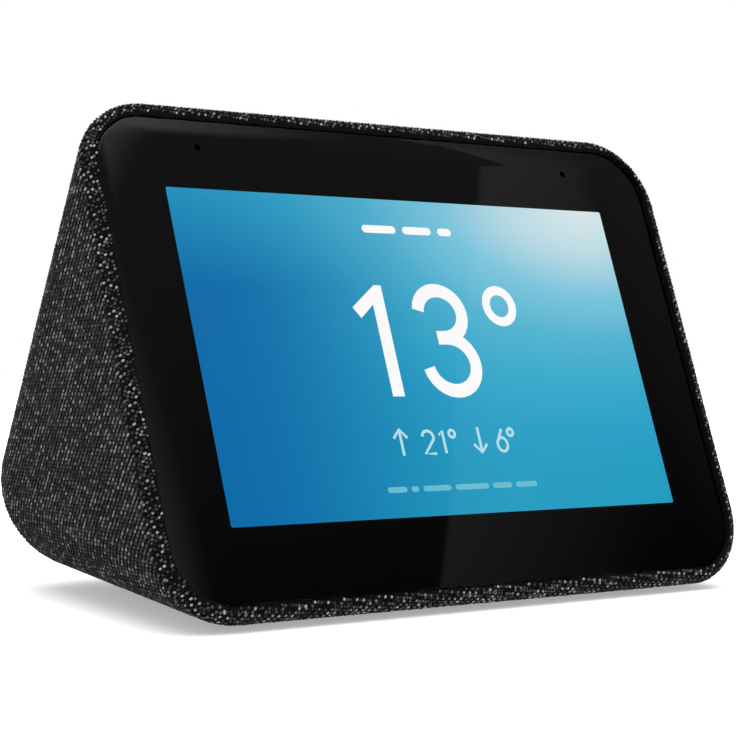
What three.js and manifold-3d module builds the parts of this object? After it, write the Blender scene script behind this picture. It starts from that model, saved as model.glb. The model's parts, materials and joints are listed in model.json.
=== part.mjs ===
// Bedside smart speaker: a fabric-covered wedge with a leaning display in front, a full-range
// driver behind the sloping back and a passive radiator at each side.
// Millimetres, +Z up. +X is the user's right, +Y is the rear, the floor is z = 0, and the origin
// is under the middle of the outside box.

import * as THREE from 'three';
import { ConvexGeometry } from 'three/addons/geometries/ConvexGeometry.js';
import { mergeVertices } from 'three/addons/utils/BufferGeometryUtils.js';
import Module from 'manifold-3d';

// ---------------------------------------------------------------- driving dimensions

// body wedge
const faceWidth = 113;
const faceHeight = 79;
const faceCorner = 12.1;
const faceTilt = THREE.MathUtils.degToRad(20);
const rimRound = 2;
const rimProud = 0.7;
const bodyDepth = 79.2;
const rearTaper = 9.3;
const rearRound = 15;
const rearLift = 2.1;
const footStand = 1;

// clearances, and how far bodies that are joined into one run into each other
const seatGap = 0.3;
const runGap = 0.3;
const lap = 0.5;

// skins
const fabricThick = 0.8;
const shellWall = 1.6;

// cover glass and display stack
const glassSideRim = 2.4;
const glassEndRim = 2.3;
const glassCorner = 9;
const glassThick = 1.1;
const tapeThick = 0.4;
const tapeMargin = 0.6;
const ledgeThick = 1.5;
const lcdSideBorder = 8.1;
const lcdTopBorder = 9.1;
const lcdBottomBorder = 6.2;
const lcdCorner = 0.6;
const lcdThick = 1.2;
const backlightThick = 2;
const bracketThick = 1;
const bracketSide = 1.5;
const splitDepth = 9;

// microphones and light sensor
const micSideIn = 17.6;
const micDown = 4.7;
const micHole = 0.55;
const micWidth = 3.5;
const micHeight = 2.6;
const micThick = 0.9;
const micLower = 0.6;
const sealRadius = 2.2;
const sealBore = 0.85;
const micBoardThick = 0.8;
const micBoardSide = 5.5;
const micBoardHeight = 3.4;
const micBoardLower = 0.2;
const sensorSize = 2.4;
const sensorThick = 0.7;

// main board
const boardTopIn = 4.1;
const boardBottomIn = 5;
const boardThick = 1.2;
const boardDepth = 9;
const boardScrewOut = 1.7;
const boardScrewIn = 4;
const bossRadius = 2.4;
const earMargin = 1;
const sheet = 0.6;
const processorShield = 26;
const processorX = -12;
const radioShieldWidth = 20;
const radioShieldHeight = 15;
const radioX = 28;
const radioUp = 6;
const shieldTall = 2.2;
const padSize = 20;
const padThick = 0.8;
const spreaderWidth = 64;
const spreaderHeight = 34;
const spreaderThick = 1.2;
const spreaderLegIn = 2;
const spreaderLegLow = 4;
const spreaderLegHigh = 12;
const ribbonWidth = 20;
const ribbonThick = 0.3;
const ribbonLap = 2;
const ribbonNotchTall = 3.5;
const ribbonRise = 5;

// antennas
const antennaThick = 0.8;
const antennaFront = -8;
const antennaRear = 4;
const antennaBottom = 36;
const antennaTop = 52;

// speaker box and baffle
const boxSide = 1.8;
const boxWall = 1.8;
const boxGap = 2;
const boxBottom = 9.5;
const boxTopLong = 4.2;
const boxOverSockets = 1.6;
const baffleInset = 7.2;
const baffleThick = 2;
const baffleLip = 3;

// driver
const flangeSize = 35;
const flangeThick = 1.2;
const basketRadius = 14.6;
const basketWall = 1;
const basketDeep = 10.5;
const basketFoot = 11.6;
const coneRadius = 11.9;
const coneWall = 0.5;
const coneEdge = 1.8;
const coneDeep = 6.8;
const formerRadius = 9.1;
const formerLong = 8.6;
const poleRadius = 7.9;
const gapRadius = 9.9;
const magnetRadius = 11;
const magnetTall = 7.2;
const magnetBase = 2;
const capRise = 2.2;
const surroundWall = 0.4;
const surroundLip = 1.4;
const flangeCorner = 3;
const driverScrewIn = 2.9;
const surroundSeat = 0.4;

// passive radiators
const radiatorZ = 24.5;
const radiatorHole = 11;
const radiatorLip = 1.6;
const radiatorRoll = 3.6;
const radiatorPlateThick = 1.6;
const radiatorPlateEdge = 0.5;
const radiatorSeat = 0.2;

// sound slots
const slotWide = 1.8;
const slotPitch = 4;
const backSlots = 7;
const backSlotLong = 26;
const sideSlots = 5;
const sideSlotLong = 18;

// buttons and mute slider
const controlDown = 16;
const buttonX = 17;
const buttonRadius = 4.5;
const buttonProud = 0.8;
const buttonEdge = 0.5;
const buttonTravel = 0.7;
const flangeStep = 1.1;
const buttonFlangeThick = 1;
const plungerRadius = 1.5;
const plungerLong = 0.6;
const controlBoardWidth = 62;
const controlBoardTall = 8;
const controlBoardThick = 1.2;
const switchSize = 5;
const switchTall = 1.8;
const knobWidth = 5;
const knobTall = 2.6;
const knobProud = 0.6;
const knobFlat = 0.1;
const muteTravel = 2.5;
const muteFlange = 2;
const muteFlangeThick = 0.9;
const muteSwitchWidth = 9;
const muteSwitchTall = 4;

// ports
const portWidth = 44;
const portTall = 12;
const portZ = 15;
const portDeep = 6.1;
const portWall = 1;
const portFloor = 1.2;
const portProud = 0.2;
const portCorner = 3;
const portBoardWidth = 40;
const portBoardGap = 0.8;
const portBoardThick = 1.2;
const portBoardTop = 10.6;
const portRibWidth = 7;
const portRibBack = 2;
const portRibFront = 5;
const usbX = -10;
const usbWidth = 13.1;
const usbTall = 5.7;
const usbDeep = 12;
const usbWall = 0.4;
const usbTongue = 1.8;
const usbTongueIn = 1.2;
const usbBack = 1;
const socketCorner = 0.5;
const powerX = 11;
const powerSize = 9;
const powerDeep = 11;
const powerBore = 3.15;
const powerPin = 1;
const powerBoreDeep = 9.5;

// base, foot and screws
const baseFrontIn = 17.1;
const baseRearIn = 19.6;
const baseMargin = 4;
const baseCorner = 6;
const baseThick = 2.4;
const footThick = 2.1;
const footMargin = 1.5;
const ledgeTall = 1.8;
const ledgeRim = 3;
const ledgeInner = 6;
const baseBossTop = 9.2;
const baseBossIn = 4.6;
const boreRoof = 0.6;
const headSunk = 0.2;
const headRadius = 2;
const headTall = 1.3;
const headEdge = 0.3;
const shankRadius = 1.1;

// snap tabs between the frame and the shell
const tabWidth = 10;
const tabReach = 3;
const tabThick = 1.2;

// roundness
const rimSteps = 3;
const cornerSteps = 4;
const ballSteps = 4;
const roundSteps = 16;
const smallSteps = 8;
const smallRadius = 3;

// ---------------------------------------------------------------- frames worked out from them

const rearX = faceWidth / 2 - rearTaper - rearRound;
const rearY = bodyDepth / 2 - rearRound;
const rearZ = footStand + rearLift + rearRound;
const spineDepth = rimRound - rimProud;
const spineUp = faceHeight / 2 - rimRound;
const faceY = rimRound - bodyDepth / 2 + spineUp * Math.sin(faceTilt) - spineDepth * Math.cos(faceTilt);
const faceZ = footStand + rimRound + spineUp * Math.cos(faceTilt) + spineDepth * Math.sin(faceTilt);

// The face group: x to the right, y into the body from the glass, z up the leaning face.
const face = new THREE.Group();
face.position.set(0, faceY, faceZ);
face.rotation.x = -faceTilt;
face.updateMatrix();

// The back group lies on the sloping back: y out of it, z up it, from where the slope meets the
// rounded rear. The slope touches the top of the rim round and the rear round.
const topSpine = new THREE.Vector3(0, spineDepth, spineUp).applyMatrix4(face.matrix);
const slopeRun = rearY - topSpine.y;
const slopeDrop = topSpine.z - rearZ;
const slopeLong = Math.hypot(slopeRun, slopeDrop);
const backPitch = Math.acos((rimRound - rearRound) / slopeLong) - Math.atan2(slopeDrop, slopeRun);
const back = new THREE.Group();
back.position.set(0, rearY + rearRound * Math.cos(backPitch), rearZ + rearRound * Math.sin(backPitch));
back.rotation.x = backPitch;
back.updateMatrix();
const controlUp = Math.sqrt(slopeLong ** 2 - (rearRound - rimRound) ** 2) - controlDown;

// Sizes across the face, each kept inside the one before it.
const glassWidth = faceWidth - 2 * glassSideRim;
const glassHeight = faceHeight - 2 * glassEndRim;
const lcdWidth = glassWidth - 2 * lcdSideBorder;
const lcdAbove = glassHeight / 2 - lcdTopBorder;
const lcdBelow = glassHeight / 2 - lcdBottomBorder;
const bracketWidth = lcdWidth + 2 * bracketSide;
const micUp = glassHeight / 2 - micDown;
const micSpacing = glassWidth - 2 * micSideIn;
const micBoardWidth = micSpacing + 2 * micBoardSide;
const boardAbove = lcdAbove - boardTopIn;
const boardBelow = lcdBelow - boardBottomIn;
const boardScrewX = bracketWidth / 2 + boardScrewOut;
const boardScrewAbove = boardAbove - boardScrewIn;
const boardScrewBelow = boardBelow - boardScrewIn;

// Depths behind the glass at which the layers of the display lie.
const tapeAt = glassThick + seatGap;
const ledgeAt = tapeAt + tapeThick + seatGap;
const ledgeEnd = ledgeAt + ledgeThick;
const backlightAt = tapeAt + lcdThick + seatGap;
const bracketAt = backlightAt + backlightThick + seatGap;
const boardRear = boardDepth + boardThick;
const shieldAt = boardRear + seatGap;
const padAt = shieldAt + shieldTall + seatGap;
const spreaderAt = padAt + padThick + seatGap;
const boxDepth = spreaderAt + spreaderThick + boxGap;

// Insets of the skins from the outer surface.
const shellInset = fabricThick + seatGap;
const hollowInset = shellInset + shellWall;

// y of the plane at a depth behind the glass, at height z.
function faceLineY(depth, z) {
  return faceY + (depth + (z - faceZ) * Math.sin(faceTilt)) / Math.cos(faceTilt);
}

// y of the plane under the sloping back at height z, and its height at that y.
const slopeOut = rearY * Math.cos(backPitch) + rearZ * Math.sin(backPitch) + rearRound;

function backLineY(inset, z) {
  return (slopeOut - inset - z * Math.sin(backPitch)) / Math.cos(backPitch);
}

function backLineZ(inset, y) {
  return (slopeOut - inset - y * Math.cos(backPitch)) / Math.sin(backPitch);
}

// Height up the slope of a point at height z under it.
function upSlope(inset, z) {
  return (z - back.position.z + inset * Math.sin(backPitch)) / Math.cos(backPitch);
}

// The speaker box fills what the display stack, the sockets and the sloping back leave free. Its top
// is where the space between the display stack and the baffle is down to boxTopLong. Its notch is
// over the sockets, and high enough for the baffle to pass in front of the port pocket.
const portFloorY = bodyDepth / 2 - portDeep;
const socketZ = portBoardTop + seatGap;
const boxWidth = 2 * (rearX + boxSide);
const boxNotchY = portFloorY - usbDeep - boxGap;
const boxNotchZ = Math.max(
  socketZ + powerSize + boxOverSockets, backLineZ(baffleInset, portFloorY - portFloor - seatGap));
const baffleRear = baffleInset + baffleThick + seatGap;

// The driver sits as low on the slope as the inner corner over the notch lets its tapered basket.
const notchCorner = new THREE.Vector3(0, boxNotchY - boxWall, boxNotchZ + boxWall)
  .applyMatrix4(back.matrix.clone().invert());
const basketTaper = (basketRadius - basketFoot) / (basketDeep - 2 * basketWall);
const basketThere = basketRadius + basketTaper * (notchCorner.y + baffleInset + basketWall);
const driverUp = notchCorner.z + basketThere + seatGap;

const boxTop = (backLineY(baffleRear, 0) - faceLineY(boxDepth, 0) - boxTopLong)
  / (Math.tan(backPitch) + Math.tan(faceTilt));
const radiatorY = (faceLineY(boxDepth, radiatorZ) + boxNotchY) / 2;
const baseFront = baseFrontIn - bodyDepth / 2;
const baseRear = bodyDepth / 2 - baseRearIn;

// ---------------------------------------------------------------- solids

const wasm = await Module();
wasm.setup();

function solid(geometry, matrix) {
  const bare = geometry.clone();
  bare.deleteAttribute('normal');
  bare.deleteAttribute('uv');
  if (matrix) bare.applyMatrix4(matrix);
  const merged = mergeVertices(bare, 1e-4);
  return new wasm.Manifold(new wasm.Mesh({
    numProp: 3,
    vertProperties: new Float32Array(merged.attributes.position.array),
    triVerts: new Uint32Array(merged.index.array),
  }));
}

function geometryOf(manifold) {
  const mesh = manifold.getMesh();
  const geometry = new THREE.BufferGeometry();
  geometry.setAttribute('position', new THREE.BufferAttribute(new Float32Array(mesh.vertProperties), 3));
  geometry.setIndex(new THREE.BufferAttribute(new Uint32Array(mesh.triVerts), 1));
  geometry.computeVertexNormals();
  return geometry;
}

function cut(body, tools) {
  return tools.reduce((left, tool) => left.subtract(tool), body);
}

function join(bodies) {
  return bodies.reduce((left, right) => left.add(right));
}

// A rectangle with round corners, each a quarter of a circle.
function roundedShape(left, right, bottom, top, radius) {
  const steps = stepsFor(radius) / 4;
  const corners = [[right, top, -1, -1], [left, top, 1, -1], [left, bottom, 1, 1], [right, bottom, -1, 1]];
  const points = [];
  corners.forEach(([x, y, inX, inY], quarter) => {
    for (let step = 0; step <= steps; step += 1) {
      const turn = (quarter + step / steps) * Math.PI / 2;
      points.push(new THREE.Vector2(
        x + radius * (inX + Math.cos(turn)), y + radius * (inY + Math.sin(turn))));
    }
  });
  return new THREE.Shape(points);
}

function centredShape(width, height, radius) {
  return roundedShape(-width / 2, width / 2, -height / 2, height / 2, radius);
}

function extrude(shape, depth) {
  return new THREE.ExtrudeGeometry(shape, { depth, bevelEnabled: false, curveSegments: cornerSteps });
}

// A plate in a group's x and z, from y = from to y = to.
function plate(shape, from, to) {
  return extrude(shape, to - from).rotateX(Math.PI / 2).translate(0, to, 0);
}

// A side profile in y and z, swept across x.
function across(shape, width) {
  const turn = new THREE.Matrix4().makeBasis(
    new THREE.Vector3(0, 1, 0), new THREE.Vector3(0, 0, 1), new THREE.Vector3(1, 0, 0));
  return extrude(shape, width).applyMatrix4(turn).translate(-width / 2, 0, 0);
}

function block(x0, x1, y0, y1, z0, z1) {
  return new THREE.BoxGeometry(Math.abs(x1 - x0), Math.abs(y1 - y0), Math.abs(z1 - z0))
    .translate((x0 + x1) / 2, (y0 + y1) / 2, (z0 + z1) / 2);
}

function stepsFor(radius) {
  return radius < smallRadius ? smallSteps : roundSteps;
}

// A round bar along y, from y = from to y = to.
function bar(radius, from, to) {
  return new THREE.CylinderGeometry(radius, radius, to - from, stepsFor(radius))
    .translate(0, (from + to) / 2, 0);
}

function lathe(points) {
  const profile = points.map(([radius, along]) => new THREE.Vector2(radius, along));
  if (THREE.ShapeUtils.area(profile) < 0) profile.reverse();
  return new THREE.LatheGeometry(profile, stepsFor(Math.max(...points.map(([radius]) => radius))));
}

// A lathe ring whose profile closes on itself.
function ring(points) {
  return lathe([...points, points[0]]);
}

// Points on a half roll over the gap from one radius to another, standing on y = foot.
function halfRoll(inner, outer, foot) {
  const middle = (inner + outer) / 2;
  const half = (outer - inner) / 2;
  const points = [];
  for (let step = 0; step <= cornerSteps; step += 1) {
    const turn = Math.PI * (1 - step / cornerSteps);
    points.push([middle + half * Math.cos(turn), foot + half * Math.sin(turn)]);
  }
  return points;
}

// A rubber roll between a moving edge and a fixed lip.
function rollRing(inner, outer, lip, foot) {
  const top = halfRoll(inner, outer, foot + surroundWall);
  const under = halfRoll(inner + surroundWall, outer - surroundWall, foot).reverse();
  return ring([...top, [lip, foot + surroundWall], [lip, foot], ...under, [inner, foot]]);
}

// A cap screw along y: the head's flat top is at y = 0 and the shank goes to y = -length.
function screw(length) {
  return lathe([[0, -length], [shankRadius, -length + shankRadius / 2],
    [shankRadius, -headTall], [headRadius, -headTall], [headRadius, -headEdge], [headRadius - headEdge, 0],
    [0, 0]]);
}

// The body wedge, drawn in by an inset: a rounded rim in front and a ball at each rear corner.
function wedge(inset) {
  const points = [];
  const drawn = Math.max(rimRound, inset);
  const tube = Math.max(rimRound - inset, 0);
  const corner = faceCorner - drawn;
  const turns = tube > 0 ? rimSteps : 0;
  for (const [sideX, sideZ] of [[1, 1], [-1, 1], [-1, -1], [1, -1]]) {
    for (let step = 0; step <= cornerSteps; step += 1) {
      const around = (step / cornerSteps) * Math.PI / 2;
      const outX = sideX * Math.cos(around);
      const outZ = sideZ * Math.sin(around);
      const x = sideX * (faceWidth / 2 - faceCorner) + corner * outX;
      const z = sideZ * (faceHeight / 2 - faceCorner) + corner * outZ;
      for (let turn = 0; turn <= turns; turn += 1) {
        const roll = (turn / rimSteps) * THREE.MathUtils.degToRad(120);
        const out = tube * Math.sin(roll);
        const depth = drawn - rimProud - tube * Math.cos(roll);
        points.push(new THREE.Vector3(x + out * outX, depth, z + out * outZ).applyMatrix4(face.matrix));
      }
    }
  }
  const ball = new THREE.SphereGeometry(rearRound - inset, 4 * ballSteps, 2 * ballSteps);
  const places = ball.attributes.position;
  for (const side of [-1, 1]) {
    for (let index = 0; index < places.count; index += 1) {
      const point = new THREE.Vector3().fromBufferAttribute(places, index);
      if (side * point.x < -1e-3 || point.y < -1e-3) continue;
      points.push(point.add(new THREE.Vector3(side * rearX, rearY, rearZ)));
    }
  }
  return solid(new ConvexGeometry(points));
}

// ---------------------------------------------------------------- finishing a piece

const speaker = new THREE.Group();
speaker.add(face, back);

function add(name, geometry, look, group = speaker) {
  const mesh = new THREE.Mesh(geometry, new THREE.MeshStandardMaterial(look));
  mesh.name = name;
  group.add(mesh);
  return mesh;
}

const looks = {
  fabric: { color: 0x232325, roughness: 0.95, metalness: 0 },
  shell: { color: 0x17171a, roughness: 0.6, metalness: 0 },
  glass: { color: 0x0c0c0d, roughness: 0.05, metalness: 0 },
  tape: { color: 0x1a1a1a, roughness: 0.9, metalness: 0 },
  lcd: { color: 0x2c7fb8, roughness: 0.2, metalness: 0 },
  steel: { color: 0xb4b6b8, roughness: 0.35, metalness: 1 },
  aluminium: { color: 0xc4c6c8, roughness: 0.4, metalness: 1 },
  board: { color: 0x0f4a2c, roughness: 0.5, metalness: 0 },
  pad: { color: 0x8fa3b0, roughness: 0.9, metalness: 0 },
  ribbon: { color: 0xb3712a, roughness: 0.4, metalness: 0 },
  chip: { color: 0x1b1b1d, roughness: 0.5, metalness: 0 },
  rubber: { color: 0x1c1c1c, roughness: 0.85, metalness: 0 },
  cone: { color: 0x202022, roughness: 0.8, metalness: 0 },
  magnet: { color: 0x3a3b3d, roughness: 0.5, metalness: 0.8 },
};

// ---------------------------------------------------------------- shared outlines and openings

// The underside is flat between the front corners and the rear rounds; the base keeps inside it.
const bottomSpine = new THREE.Vector3(0, spineDepth, -spineUp).applyMatrix4(face.matrix);
const frontHalf = faceWidth / 2 - faceCorner;

function underHalf(y) {
  return frontHalf + (rearX - frontHalf) * (y - bottomSpine.y) / (rearY - bottomSpine.y);
}

function roundedPolygon(corners, radius) {
  const shape = new THREE.Shape();
  corners.forEach((corner, index) => {
    const before = corners[(index + corners.length - 1) % corners.length];
    const after = corners[(index + 1) % corners.length];
    const enter = corner.clone().add(before.clone().sub(corner).setLength(radius));
    const leave = corner.clone().add(after.clone().sub(corner).setLength(radius));
    if (index === 0) shape.moveTo(enter.x, enter.y);
    else shape.lineTo(enter.x, enter.y);
    shape.quadraticCurveTo(corner.x, corner.y, leave.x, leave.y);
  });
  shape.closePath();
  return shape;
}

// The base's outline, drawn in by a margin.
function basePlan(margin) {
  const frontY = baseFront + margin;
  const rearEdge = baseRear - margin;
  const front = underHalf(frontY) - baseMargin - margin;
  const rear = underHalf(rearEdge) - baseMargin - margin;
  const corners = [[-front, frontY], [front, frontY], [rear, rearEdge], [-rear, rearEdge]];
  return roundedPolygon(corners.map(([x, y]) => new THREE.Vector2(x, y)), Math.max(baseCorner - margin, lap));
}

function lying(shape, from, to) {
  return extrude(shape, to - from).translate(0, 0, from);
}

const baseAt = footThick + seatGap;
const baseLedge = baseAt + baseThick + seatGap;
const baseHole = solid(lying(basePlan(-seatGap), -faceHeight, baseLedge));

// The port pocket's outline, let out all round by a margin, from a y out through the rear.
function portBlock(margin, from) {
  const outline = centredShape(portWidth + 2 * margin, portTall + 2 * margin, portCorner + margin);
  return solid(plate(outline, from, bodyDepth).translate(0, 0, portZ));
}

const portHole = portBlock(portWall + seatGap, portFloorY - portFloor - seatGap);

const skinThrough = hollowInset + shellWall;
const buttonHole = bar(buttonRadius + runGap, -skinThrough, skinThrough);
const buttonHoles = [-1, 1].map((side) => solid(
  buttonHole.clone().translate(side * buttonX, 0, controlUp), back.matrix));
const muteHole = solid(plate(
  centredShape(knobWidth + muteTravel + 2 * runGap, knobTall + 2 * runGap, knobTall / 2),
  -skinThrough, skinThrough).translate(0, 0, controlUp), back.matrix);
const skinHoles = [portHole, ...buttonHoles, muteHole];

function glassHole(gap, to) {
  const outline = centredShape(glassWidth + 2 * gap, glassHeight + 2 * gap, glassCorner + gap);
  return solid(plate(outline, -splitDepth, to), face.matrix);
}

// Half spaces in front of and behind a depth, as big blocks.
function infront(depth) {
  return solid(block(-faceWidth, faceWidth, -bodyDepth, depth, -2 * faceHeight, 2 * faceHeight), face.matrix);
}

const shellOuter = wedge(shellInset);
const shellHollow = wedge(hollowInset);
const micPlaces = [-micSpacing / 2, micSpacing / 2];
const boardScrews = [-1, 1].flatMap((side) => [
  [side * boardScrewX, boardScrewAbove],
  [side * boardScrewX, -boardScrewBelow],
]);

// Bores of the seals and of the light sensor, through the tape and the frame's ledge.
function sealBores(to) {
  return [...micPlaces, 0].map((x) => bar(sealRadius + runGap, 0, to).translate(x, 0, micUp));
}

// ---------------------------------------------------------------- fabric cover: a knit bonded to the shell

const fabricCuts = [wedge(fabricThick), glassHole(seatGap, shellInset), baseHole, ...skinHoles];
add('fabric_cover', geometryOf(cut(wedge(0), fabricCuts)), looks.fabric);

// ---------------------------------------------------------------- front frame: holds glass and display

const frameDepth = splitDepth - seatGap / 2;
const frameWalls = shellOuter.subtract(shellHollow).intersect(infront(frameDepth));
const faceShape = centredShape(faceWidth, faceHeight, faceCorner);
const frameLedge = solid(plate(faceShape, ledgeAt - lap, ledgeEnd), face.matrix)
  .intersect(wedge(shellInset + shellWall / 2));
const frameBosses = boardScrews.map(([x, z]) => solid(
  bar(bossRadius, ledgeEnd - lap, bracketAt - seatGap).translate(x, 0, z), face.matrix));
const tabInset = hollowInset + seatGap;
const tabSkin = wedge(tabInset).subtract(wedge(tabInset + tabThick))
  .intersect(infront(splitDepth + tabReach));
const tabRoot = wedge(hollowInset - lap).subtract(wedge(tabInset + tabThick)).intersect(infront(frameDepth));
const tabZones = join([-1, 1].map((side) => solid(
  block(0, side * faceWidth, ledgeEnd + 1, bodyDepth, -tabWidth / 2, tabWidth / 2), face.matrix)));
const windowHalf = lcdWidth / 2 + seatGap;
const lcdWindow = roundedShape(
  -windowHalf, windowHalf, -lcdBelow - seatGap, lcdAbove + seatGap, lcdCorner + seatGap);
const frameCuts = [
  glassHole(seatGap, ledgeAt),
  solid(plate(lcdWindow, 0, ledgeEnd + 1), face.matrix),
  ...boardScrews.map(([x, z]) => solid(
    bar(shankRadius + runGap, ledgeAt + lap, bodyDepth).translate(x, 0, z), face.matrix)),
  ...sealBores(splitDepth).map((bore) => solid(bore, face.matrix)),
];
const frameTabs = tabSkin.add(tabRoot).intersect(tabZones);
const frameBody = join([frameWalls, frameLedge, frameTabs, ...frameBosses]);
add('front_frame', geometryOf(cut(frameBody, frameCuts)), looks.shell);

// ---------------------------------------------------------------- rear shell: slotted for the sound

const shellWalls = shellOuter.subtract(shellHollow).subtract(infront(splitDepth + seatGap / 2));
const ledgeBand = solid(lying(basePlan(-ledgeRim), -lap, baseLedge + ledgeTall)).intersect(shellOuter)
  .subtract(solid(lying(basePlan(ledgeInner), -faceHeight, faceHeight)));
const baseScrews = [-1, 1].flatMap((side) => [baseFront + baseBossIn, baseRear - baseBossIn].map(
  (y) => [side * (underHalf(y) - baseMargin - baseBossIn), y]));

function standing(radius, from, to) {
  return new THREE.CylinderGeometry(radius, radius, to - from, stepsFor(radius))
    .rotateX(Math.PI / 2).translate(0, 0, (from + to) / 2);
}

const baseBosses = baseScrews.map(([x, y]) => solid(
  standing(bossRadius, baseLedge - lap, baseBossTop).translate(x, y, 0)));
const baseBores = baseScrews.map(([x, y]) => solid(
  standing(shankRadius + runGap, 0, baseBossTop - boreRoof).translate(x, y, 0)));
const portBoardAt = portBoardTop - portBoardThick;
const portRib = block(-portRibWidth / 2, portRibWidth / 2, boxNotchY + portRibBack,
  portFloorY - portRibFront, 0, portBoardAt - seatGap);
const portRibs = [-1, 1].map((side) => solid(portRib.clone().translate(side * portBoardWidth / 2, 0, 0))
  .intersect(wedge(shellInset + shellWall / 2)));
const soundSlots = [];
for (let index = 0; index < backSlots; index += 1) {
  const x = (index - (backSlots - 1) / 2) * slotPitch;
  soundSlots.push(solid(block(x - slotWide / 2, x + slotWide / 2, -skinThrough, skinThrough,
    driverUp - backSlotLong / 2, driverUp + backSlotLong / 2), back.matrix));
}
for (let index = 0; index < sideSlots; index += 1) {
  const y = radiatorY + (index - (sideSlots - 1) / 2) * slotPitch;
  soundSlots.push(solid(block(-faceWidth, faceWidth, y - slotWide / 2, y + slotWide / 2,
    radiatorZ - sideSlotLong / 2, radiatorZ + sideSlotLong / 2)));
}
const shellBody = join([shellWalls, ledgeBand, ...baseBosses, ...portRibs]);
const shellCuts = [baseHole, ...baseBores, ...skinHoles, ...soundSlots];
add('rear_shell', geometryOf(cut(shellBody, shellCuts)), looks.shell);

// ---------------------------------------------------------------- cover glass, tape, LCD and backlight

const glass = solid(plate(centredShape(glassWidth, glassHeight, glassCorner), 0, glassThick));
const glassBores = micPlaces.map((x) => solid(
  bar(micHole, -glassThick, 2 * glassThick).translate(x, 0, micUp)));
add('cover_glass', geometryOf(cut(glass, glassBores)), looks.glass, face);

const tape = solid(plate(centredShape(glassWidth - 2 * tapeMargin, glassHeight - 2 * tapeMargin,
  glassCorner - tapeMargin), tapeAt, tapeAt + tapeThick));
const tapeCuts = [plate(lcdWindow, 0, ledgeAt), ...sealBores(ledgeAt)].map((hole) => solid(hole));
add('glass_tape', geometryOf(cut(tape, tapeCuts)), looks.tape, face);

const lcdShape = roundedShape(-lcdWidth / 2, lcdWidth / 2, -lcdBelow, lcdAbove, lcdCorner);
add('lcd_panel', plate(lcdShape, tapeAt, tapeAt + lcdThick), looks.lcd, face);
add('lcd_backlight', plate(lcdShape, backlightAt, backlightAt + backlightThick), looks.steel, face);

// ---------------------------------------------------------------- display bracket and main board

// Both hang on the same four screws, so both have ears for them.
const earHalf = bossRadius + earMargin;
const earReach = boardScrewX + bossRadius;
const screwBores = boardScrews.map(([x, z]) => solid(
  bar(shankRadius + runGap, 0, boxDepth).translate(x, 0, z)));

function earedPlate(below, above, from, to) {
  const middle = roundedShape(-bracketWidth / 2, bracketWidth / 2, -below, above, bossRadius);
  const ears = [boardScrewAbove, -boardScrewBelow].map((z) => roundedShape(
    -earReach, earReach, z - earHalf, z + earHalf, bossRadius));
  return join([middle, ...ears].map((shape) => solid(plate(shape, from, to))));
}

const bracketEnd = bracketAt + bracketThick;
const bracket = earedPlate(lcdBelow, lcdAbove, bracketAt, bracketEnd);
const standoffs = boardScrews.map(([x, z]) => solid(
  bar(bossRadius, bracketEnd - lap, boardDepth - seatGap).translate(x, 0, z)));
const ribbonNotch = solid(block(-ribbonWidth / 2 - seatGap, ribbonWidth / 2 + seatGap, 0, boardDepth,
  -2 * lcdBelow, ribbonNotchTall - lcdBelow));
add('display_bracket', geometryOf(cut(join([bracket, ...standoffs]), [ribbonNotch, ...screwBores])),
  looks.steel, face);

const board = earedPlate(boardBelow, boardAbove, boardDepth, boardRear);
add('main_board', geometryOf(cut(board, screwBores)), looks.board, face);

const boardHead = boardRear + seatGap + headTall;
boardScrews.forEach(([x, z], index) => {
  add(`board_screw_${index + 1}`, screw(boardHead - ledgeAt - 2 * lap), looks.steel, face)
    .position.set(x, boardHead, z);
});

// ---------------------------------------------------------------- shields, pad, heat spreader and ribbon

function shieldCan(width, height) {
  const can = solid(block(-width / 2, width / 2, shieldAt, shieldAt + shieldTall, -height / 2, height / 2));
  const room = solid(block(sheet - width / 2, width / 2 - sheet, 0, shieldAt + shieldTall - sheet,
    sheet - height / 2, height / 2 - sheet));
  return geometryOf(can.subtract(room));
}

add('processor_shield', shieldCan(processorShield, processorShield), looks.steel, face)
  .position.x = processorX;
add('radio_shield', shieldCan(radioShieldWidth, radioShieldHeight), looks.steel, face)
  .position.set(radioX, 0, radioUp);
add('thermal_pad', plate(centredShape(padSize, padSize, padThick), padAt, padAt + padThick), looks.pad, face)
  .position.x = processorX;

const spreaderPlate = solid(plate(
  centredShape(spreaderWidth, spreaderHeight, spreaderLegIn), spreaderAt, spreaderAt + spreaderThick));
const spreaderLeg = block(-spreaderThick / 2, spreaderThick / 2, shieldAt, spreaderAt + spreaderThick / 2,
  spreaderLegLow - spreaderHeight / 2, spreaderLegHigh - spreaderHeight / 2);
const spreaderLegs = [-1, 1].map((side) => solid(
  spreaderLeg.clone().translate(side * (spreaderWidth / 2 - spreaderLegIn), 0, 0)));
add('heat_spreader', geometryOf(join([spreaderPlate, ...spreaderLegs])), looks.aluminium, face);

// The ribbon runs from behind the display, round the board's lower edge, to its rear side.
const ribbonFront = bracketAt;
const ribbonRear = shieldAt + ribbonThick;
const ribbonTurn = (ribbonRear - ribbonFront) / 2;
const ribbonTop = ribbonLap - lcdBelow;
const ribbonLow = ribbonTop - ribbonLap / 2;
const ribbonEnd = ribbonRise - boardBelow;
const ribbonShape = new THREE.Shape();
ribbonShape.moveTo(ribbonFront, ribbonTop);
ribbonShape.lineTo(ribbonFront, ribbonLow);
ribbonShape.absarc(ribbonFront + ribbonTurn, ribbonLow, ribbonTurn, Math.PI, 2 * Math.PI);
ribbonShape.lineTo(ribbonRear, ribbonEnd);
ribbonShape.lineTo(ribbonRear - ribbonThick, ribbonEnd);
ribbonShape.lineTo(ribbonRear - ribbonThick, ribbonLow);
ribbonShape.absarc(ribbonFront + ribbonTurn, ribbonLow, ribbonTurn - ribbonThick, 2 * Math.PI, Math.PI, true);
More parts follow.
